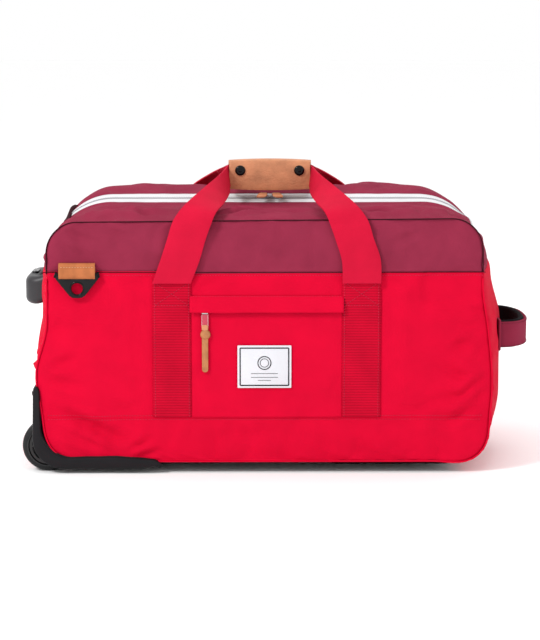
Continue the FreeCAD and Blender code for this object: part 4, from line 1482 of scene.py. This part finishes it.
# ------------------------------------------------------------------ wheels and guards


def make_tyre(name, spot, half):
    """A tyre with two grooves in its tread."""
    r = WHEEL_R
    # from one face to the middle of the tread; the other half is the same
    profile = [(r - 9 * MM, -half), (r - 4 * MM, -half), (r - 1.2 * MM, 2 * MM - half),
               (r - 0.2 * MM, 5 * MM - half), (r, -3.2 * MM), (r - 1.2 * MM, -2.6 * MM),
               (r - 1.2 * MM, -1.6 * MM), (r, -1.0 * MM)]
    profile += [(radius, -along) for radius, along in profile[::-1]] + profile[:1]
    tyre = lathe(f"tyre_tread_{name}", profile, spot, (0, 1, 0), RUBBER, 72)
    finish_piece(tyre, f"wheel_{name}", "tyre_rubber", f"tyre_{name}")


def make_wheel_face(name, letter, spot, half, face):
    """A trim ring and six spokes on one face of a wheel."""
    body, r = f"wheel_{name}", WHEEL_R
    trim = lathe(f"wheel_trim_{name}_{letter}",
                 [(r - 9.5 * MM, 0.2 * MM), (r - 9 * MM, 1.4 * MM), (r - 7 * MM, 1.6 * MM),
                  (r - 6.4 * MM, 0.2 * MM)],
                 spot + Vector((0, face * half, 0)), (0, face, 0), GLOSS_BLACK, 60)
    finish_piece(trim, body, "hub_plastic")
    for i in range(6):
        at = Matrix.Translation(spot + Vector((0, face * (half - 5 * MM), 0))) \
            @ Matrix.Rotation(math.tau * i / 6, 4, "Y") @ Matrix.Translation((16 * MM, 0, 0)) \
            @ Matrix.Rotation(math.pi / 2, 4, "X")
        spoke = prism(f"wheel_spoke_{name}_{letter}{i}", rounded(12 * MM, 3.4 * MM, 1.4 * MM, 3), 8 * MM,
                      at, GLOSS_BLACK, 0.6 * MM)
        finish_piece(spoke, body, "hub_plastic")


def make_wheels():
    """Both wheels: tyre, trim rings and spokes."""
    for side, name in SIDES:
        half = (high(f"tyre_{name}").y - low(f"tyre_{name}").y) / 2
        make_tyre(name, WHEEL[side], half)
        for face, letter in ((-1, "a"), (1, "b")):
            make_wheel_face(name, letter, WHEEL[side], half, face)


make_wheels()


def guard_edges():
    """Inner and outer edge of the corner moulding as seen from the side."""
    lo, hi = corners("wheel_guard_front")
    left = lo.x + 0.4 * MM
    arc = lambda x, z, r, steps=24: [(x + r * math.cos(a), z + r * math.sin(a))
                                     for a in spread(math.pi, 1.5 * math.pi, steps)]
    turn = 40 * MM
    floor_z = lo.z + 0.4 * MM
    inner = [(left + 9.6 * MM, hi.z - 1 * MM)] + arc(left + 10.4 * MM + turn, BASE + 5 * MM + turn, turn) \
        + [(hi.x - 60 * MM, BASE + 6 * MM), (hi.x - 10 * MM, BASE + 2.5 * MM), (hi.x, BASE - 2 * MM)]
    outer = [(left + 1.5 * MM, hi.z)] + arc(left + turn, floor_z + turn, turn) \
        + [(hi.x - 26 * MM, floor_z), (hi.x, floor_z + 4 * MM)]
    return resample(inner, 80), resample(outer, 80)


GUARD_FRONT = FACE + 3 * MM


def make_guard(side, name, inner, outer):
    """A corner moulding between its two edges, cut out round the wheel."""
    count, front, back = len(inner), GUARD_FRONT, abs(WHEEL[side].y) - 19.4 * MM
    # round the moulding: how far across from the inner edge, and the depth
    loop = [(0.0, front - 3 * MM), (0.0, front - 0.9 * MM), (0.09, front), (0.5, front + 0.4 * MM),
            (0.86, front - 0.3 * MM), (0.97, front - 1.6 * MM)]
    loop += [(1.0, y) for y in spread(front - 4 * MM, back, 9)]
    loop += [(-0.1, back), (-0.1, front - 4 * MM)]

    def point(r, c):
        share, y = loop[c]
        (ax, az), (bx, bz) = inner[r], outer[r]
        narrow = math.sqrt(1 - (1 - min(1.0, (min(r, count - 1 - r) + 0.25) / 3)) ** 2)
        share = 0.5 + (share - 0.5) * narrow
        return Vector((mix(ax, bx, share), side * y, mix(az, bz, share)))

    obj = grid_object(f"corner_guard_{name}", count, len(loop), point, GUARD, wrap=True)
    cap_ends(obj, count, len(loop))
    # the wheel's room: 37 mm in radius and 33.2 mm wide
    room = in_mm((0.01, -16.6), (37, -16.6), (37, 16.6), (0.01, 16.6))
    apply_boolean(obj, lathe(f"well_cutter_{name}", room, WHEEL[side], (0, 1, 0), GUARD, 64))
    bevel(obj, 0.6 * MM, 2)
    finish_piece(obj, "bag", "guard_plastic", f"wheel_guard_{name}")


def make_guard_screws(side, name, inner, outer):
    """A screw near each end of a corner moulding."""
    head = in_mm((0.01, 0.4), (1.0, 0.5), (1.1, 1.1), (2.6, 0.9), (3.2, 0))
    for i, (along, across, way) in enumerate(((0.04, 1.0, (-1, 0, 0)), (0.97, 0.5, (0, 0, -1)))):
        row = int(along * len(inner))
        (ax, az), (bx, bz) = inner[row], outer[row]
        at = Vector((mix(ax, bx, across), side * (GUARD_FRONT - 6 * MM), mix(az, bz, across)))
        screw = lathe(f"guard_screw_{name}_{i}", head, at, way, BLACK_METAL, 24)
        finish_piece(screw, "bag", "steel")


def make_guards():
    """The corner mouldings with the wells behind them and their screws."""
    edges = guard_edges()
    for side, name in SIDES:
        make_guard(side, name, *edges)
        make_well(side, name)
        make_guard_screws(side, name, *edges)


def cap_ends(obj, rows, cols):
    """Close the two ends of a wrapped grid."""
    with editing(obj.data) as work:
        work.verts.ensure_lookup_table()
        for r in (0, rows - 1):
            ring = [work.verts[r * cols + c] for c in range(cols)]
            work.faces.new(ring if r else ring[::-1])
        bmesh.ops.recalc_face_normals(work, faces=work.faces)


def apply_boolean(obj, cutter):
    """Cut one mesh out of another and keep the result."""
    with editing(cutter.data) as work:
        bmesh.ops.recalc_face_normals(work, faces=work.faces)
        bmesh.ops.remove_doubles(work, verts=work.verts, dist=0.05 * MM)
    modify(obj, "BOOLEAN", operation="DIFFERENCE", object=cutter, solver="EXACT")
    keep_result(obj)
    bpy.data.objects.remove(cutter)


def make_well(side, name):
    """The moulded cup that lines the wheel's well, open below and at the end."""
    spot = WHEEL[side]
    half = 18.5 * MM
    rows = spread(math.radians(-40), math.radians(117), 30)
    ring = [(37.4 * MM, -half), (37.4 * MM, half)]

    def point(r, c):
        radius, y = ring[c]
        return spot + Vector((radius * math.cos(rows[r]), y, radius * math.sin(rows[r])))

    cup = grid_object(f"wheel_well_{name}", len(rows), 2, point, GUARD)
    finish_piece(thicken(cup, 2 * MM, 1.0), "bag", "guard_plastic")
    for face, letter in ((-1, "a"), (1, "b")):
        disc = [spot + Vector((0, face * half, 0))]
        disc += [spot + Vector((38 * MM * math.cos(a), face * half, 38 * MM * math.sin(a)))
                 for a in rows]
        sheet = mesh_object(f"wheel_cheek_{name}_{letter}", disc,
                            [(0, i, i + 1) for i in range(1, len(rows))], GUARD)
        finish_piece(thicken(sheet, 1.6 * MM, 0.0), "bag", "guard_plastic")


make_guards()

# ------------------------------------------------------------------ trolley


GRIP_DROOP = 5 * MM


TUBE_X = centre("trolley_stage_1").x
TUBE_R = (high("trolley_stage_1").x - low("trolley_stage_1").x) / 2
TUBE_Y = high("trolley_stage_1").y - TUBE_R


def make_trolley_grip():
    """The moulded grip: a bar with round corners and two legs, which droops towards the bar."""
    lo, hi = corners("trolley_grip")
    z = (lo.z + hi.z) / 2
    bar_x, leg_y, corner = lo.x + 11 * MM, hi.y - 11 * MM, 12 * MM
    route = [Vector((hi.x, -leg_y, 0)), Vector((bar_x + 2 * corner, -leg_y, 0)),
             Vector((bar_x + 0.4 * corner, -leg_y + 0.25 * corner, 0)),
             Vector((bar_x, -leg_y + 1.5 * corner, 0)), Vector((bar_x - 0.6 * MM, 0, 0))]
    route += [Vector((p.x, -p.y, 0)) for p in route[-2::-1]]
    ring = rounded(21 * MM, hi.z - lo.z, 9 * MM, 6)
    rows, cols = 80, len(ring)

    def point(r, c):
        p, right = beside(route, r / (rows - 1))
        a, b = ring[c]
        droop = GRIP_DROOP * ease((hi.x - 16 * MM - p.x) / (20 * MM))
        return p - right * a + Vector((0, 0, z + b - droop))

    grip = grid_object("grip_bar", rows, cols, point, GRIP_PLASTIC, wrap=True)
    cap_ends(grip, rows, cols)
    finish_piece(bevel(grip, 0.8 * MM, 2), "trolley_3", "handle_plastic", "trolley_grip")


def make_press_key():
    """The release button, sunk into the drooping bar."""
    top = high("release_button").z - GRIP_DROOP
    key = prism("press_key", rounded(9 * MM, 34 * MM, 4.4 * MM), 4 * MM,
                Matrix.Translation((centre("release_button").x, 0, top - 1.2 * MM)), GLOSS_BLACK, 0.8 * MM)
    finish_piece(key, "button", "handle_plastic", "release_button")


def make_collars():
    """A collar where each tube leaves the tray's floor."""
    profile = [(TUBE_R + out * MM, up * MM)
               for out, up in ((0.4, 0), (4, 0), (3.2, 2.6), (0.5, 3.2), (0.4, 0))]
    for side, name in SIDES:
        collar = lathe(f"tube_collar_{name}", profile, (TUBE_X, side * TUBE_Y, TRAY_LOW + 3 * MM), (0, 0, 1),
                       GLOSS_BLACK, 40)
        finish_piece(collar, "bag", "guard_plastic")


def make_trolley():
    """The moulded grip with its press key, the tube collars and the tray."""
    make_trolley_grip()
    make_press_key()
    make_collars()
    make_tray(TUBE_R + 0.4 * MM)


def tray_line(y, inset):
    """The tray's edge at a depth, a little inside the slack cloth, from the top down."""
    left, _, top, rounding = blend_sizes(y)
    heart = Vector((MID + rounding - left, y, top - rounding))
    line = [warp(Vector((x, y, z))) for i, (x, z) in enumerate(section(y))
            if span_of(i) in ("top", "top_left", "left") and x < TRAY_BACK and z > TRAY_LOW]
    line = [p + (heart - p).normalized() * inset for p in line]
    return line + [Vector((line[-1].x, y, TRAY_LOW))]


def make_tray(hole):
    """The tray let into the end: two cheeks, a back, a floor with a hole for each tube, a bound edge."""
    wall, inset = 3 * MM, 3 * MM
    depths = spread(-TRAY_HALF, TRAY_HALF, 15)
    plates = []
    for side, name in SIDES:
        y = side * (TRAY_HALF - wall / 2)
        outline = [(p.x, p.z) for p in tray_line(y, inset)] + [(TRAY_BACK, TRAY_LOW)]
        plates.append(prism(f"tray_cheek_{name}", outline, wall, facing(-1, 0, y, 0), GUARD))
    outline = [(-TRAY_HALF, TRAY_LOW), (TRAY_HALF, TRAY_LOW)]
    outline += [(y, tray_line(y, inset)[0].z) for y in depths[::-1]]
    turn = Matrix(((0, 0, 1), (1, 0, 0), (0, 1, 0))).to_4x4()
    plates.append(prism("tray_back", outline, wall, Matrix.Translation((TRAY_BACK - wall / 2, 0, 0)) @ turn,
                        GUARD))
    outline = [(TRAY_BACK, -TRAY_HALF), (TRAY_BACK, TRAY_HALF)]
    outline += [(tray_line(y, inset)[-1].x, y) for y in depths[::-1]]
    floor = prism("tray_floor", outline, wall, Matrix.Translation((0, 0, TRAY_LOW + wall / 2)), GUARD)
    for side in (-1, 1):
        profile = [(0.01 * MM, -9 * MM), (hole, -9 * MM), (hole, 9 * MM), (0.01 * MM, 9 * MM)]
        cutter = lathe("tube_hole", profile, (TUBE_X, side * TUBE_Y, TRAY_LOW + wall / 2), (0, 0, 1), GUARD,
                       40)
        apply_boolean(floor, cutter)
    for i, plate in enumerate(plates + [floor]):
        finish_piece(plate, "bag", "guard_plastic", *(["trolley_tray"] if i == 0 else []))
    sink = 2.6 * MM
    loop = [tray_line(y, sink)[-1] for y in depths] + tray_line(TRAY_HALF, sink)[-2::-1]
    loop += [Vector((TRAY_BACK, y, tray_line(y, sink)[0].z)) for y in depths[::-1]]
    loop += tray_line(-TRAY_HALF, sink)[:-1]
    finish_piece(tube("tray_binding", loop, 3.2 * MM, SEAM_SHADOW_AND_BINDING, True, 6), "bag", "black_fabric")


make_trolley()

# ------------------------------------------------------------------ CAD nodes that stay

LOOKS = (
    (GUARD, "skid_front", "skid_rear", "trolley_foot"), (BOARD, "base_board"),
    (SILVER, "skid_screws", "bearing_front", "bearing_rear", "wheel_axles"), (BLACK_METAL, "snap_studs"),
    (GLOSS_BLACK, "hub_front", "hub_rear"),
    (TUBE_METAL, "trolley_outer_tubes", "trolley_stage_1", "trolley_stage_2", "trolley_stage_3"),
)
for look, *nodes in LOOKS:
    for cad in nodes:
        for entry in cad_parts[cad].material_slots:
            entry.material = look

# ------------------------------------------------------------------ stage, light and camera


def make_stage():
    """A white floor and surround, a key light, a weak fill and a top light."""
    reach, white = 30, 1.35
    corners = [(-reach, -reach, 0), (reach, -reach, 0), (reach, reach, 0), (-reach, reach, 0)]
    floor = mesh_object("studio_floor", corners, [(0, 1, 2, 3)],
                        material("studio_white", (white, white, white), 0.9, 0.0), smooth=False)
    world = bpy.data.worlds.new("studio")
    world.use_nodes = True
    world.node_tree.nodes["Background"].inputs["Color"].default_value = (1, 1, 1, 1)
    world.node_tree.nodes["Background"].inputs["Strength"].default_value = 1.0
    bpy.context.scene.world = world
    bpy.context.scene.view_settings.view_transform = "Standard"
    for name, place, size, power in (("key", (-1.9, -1.9, 2.3), 0.7, 66),
                                     ("fill", (2.4, -1.6, 1.0), 1.2, 8),
                                     ("top", (0.6, 0.9, 2.6), 1.0, 12)):
        light = bpy.data.lights.new(name, "AREA")
        light.energy = power
        light.size = size
        lamp = bpy.data.objects.new(name, light)
        lamp.location = place
        point_at(lamp, (0, 0, 0.15))


def point_at(obj, target):
    """Add a lamp or camera to the scene, turned to a target."""
    obj.rotation_euler = (Vector(target) - obj.location).to_track_quat("-Z", "Y").to_euler()
    bpy.context.scene.collection.objects.link(obj)


CAMERA_AT = (MID - 0.0115, -2.702, 0.583)
CAMERA_AIM = (MID + 0.0085, 0, 0.179)
CAMERA_LENS = 131.8


def make_camera():
    """Level with the bag's front, a little above it, with a long lens."""
    data = bpy.data.cameras.new("camera")
    data.sensor_fit = "HORIZONTAL"
    data.sensor_width = 36
    data.lens = CAMERA_LENS
    camera = bpy.data.objects.new("camera", data)
    camera.location = CAMERA_AT
    point_at(camera, CAMERA_AIM)
    bpy.context.scene.camera = camera


make_stage()
make_camera()
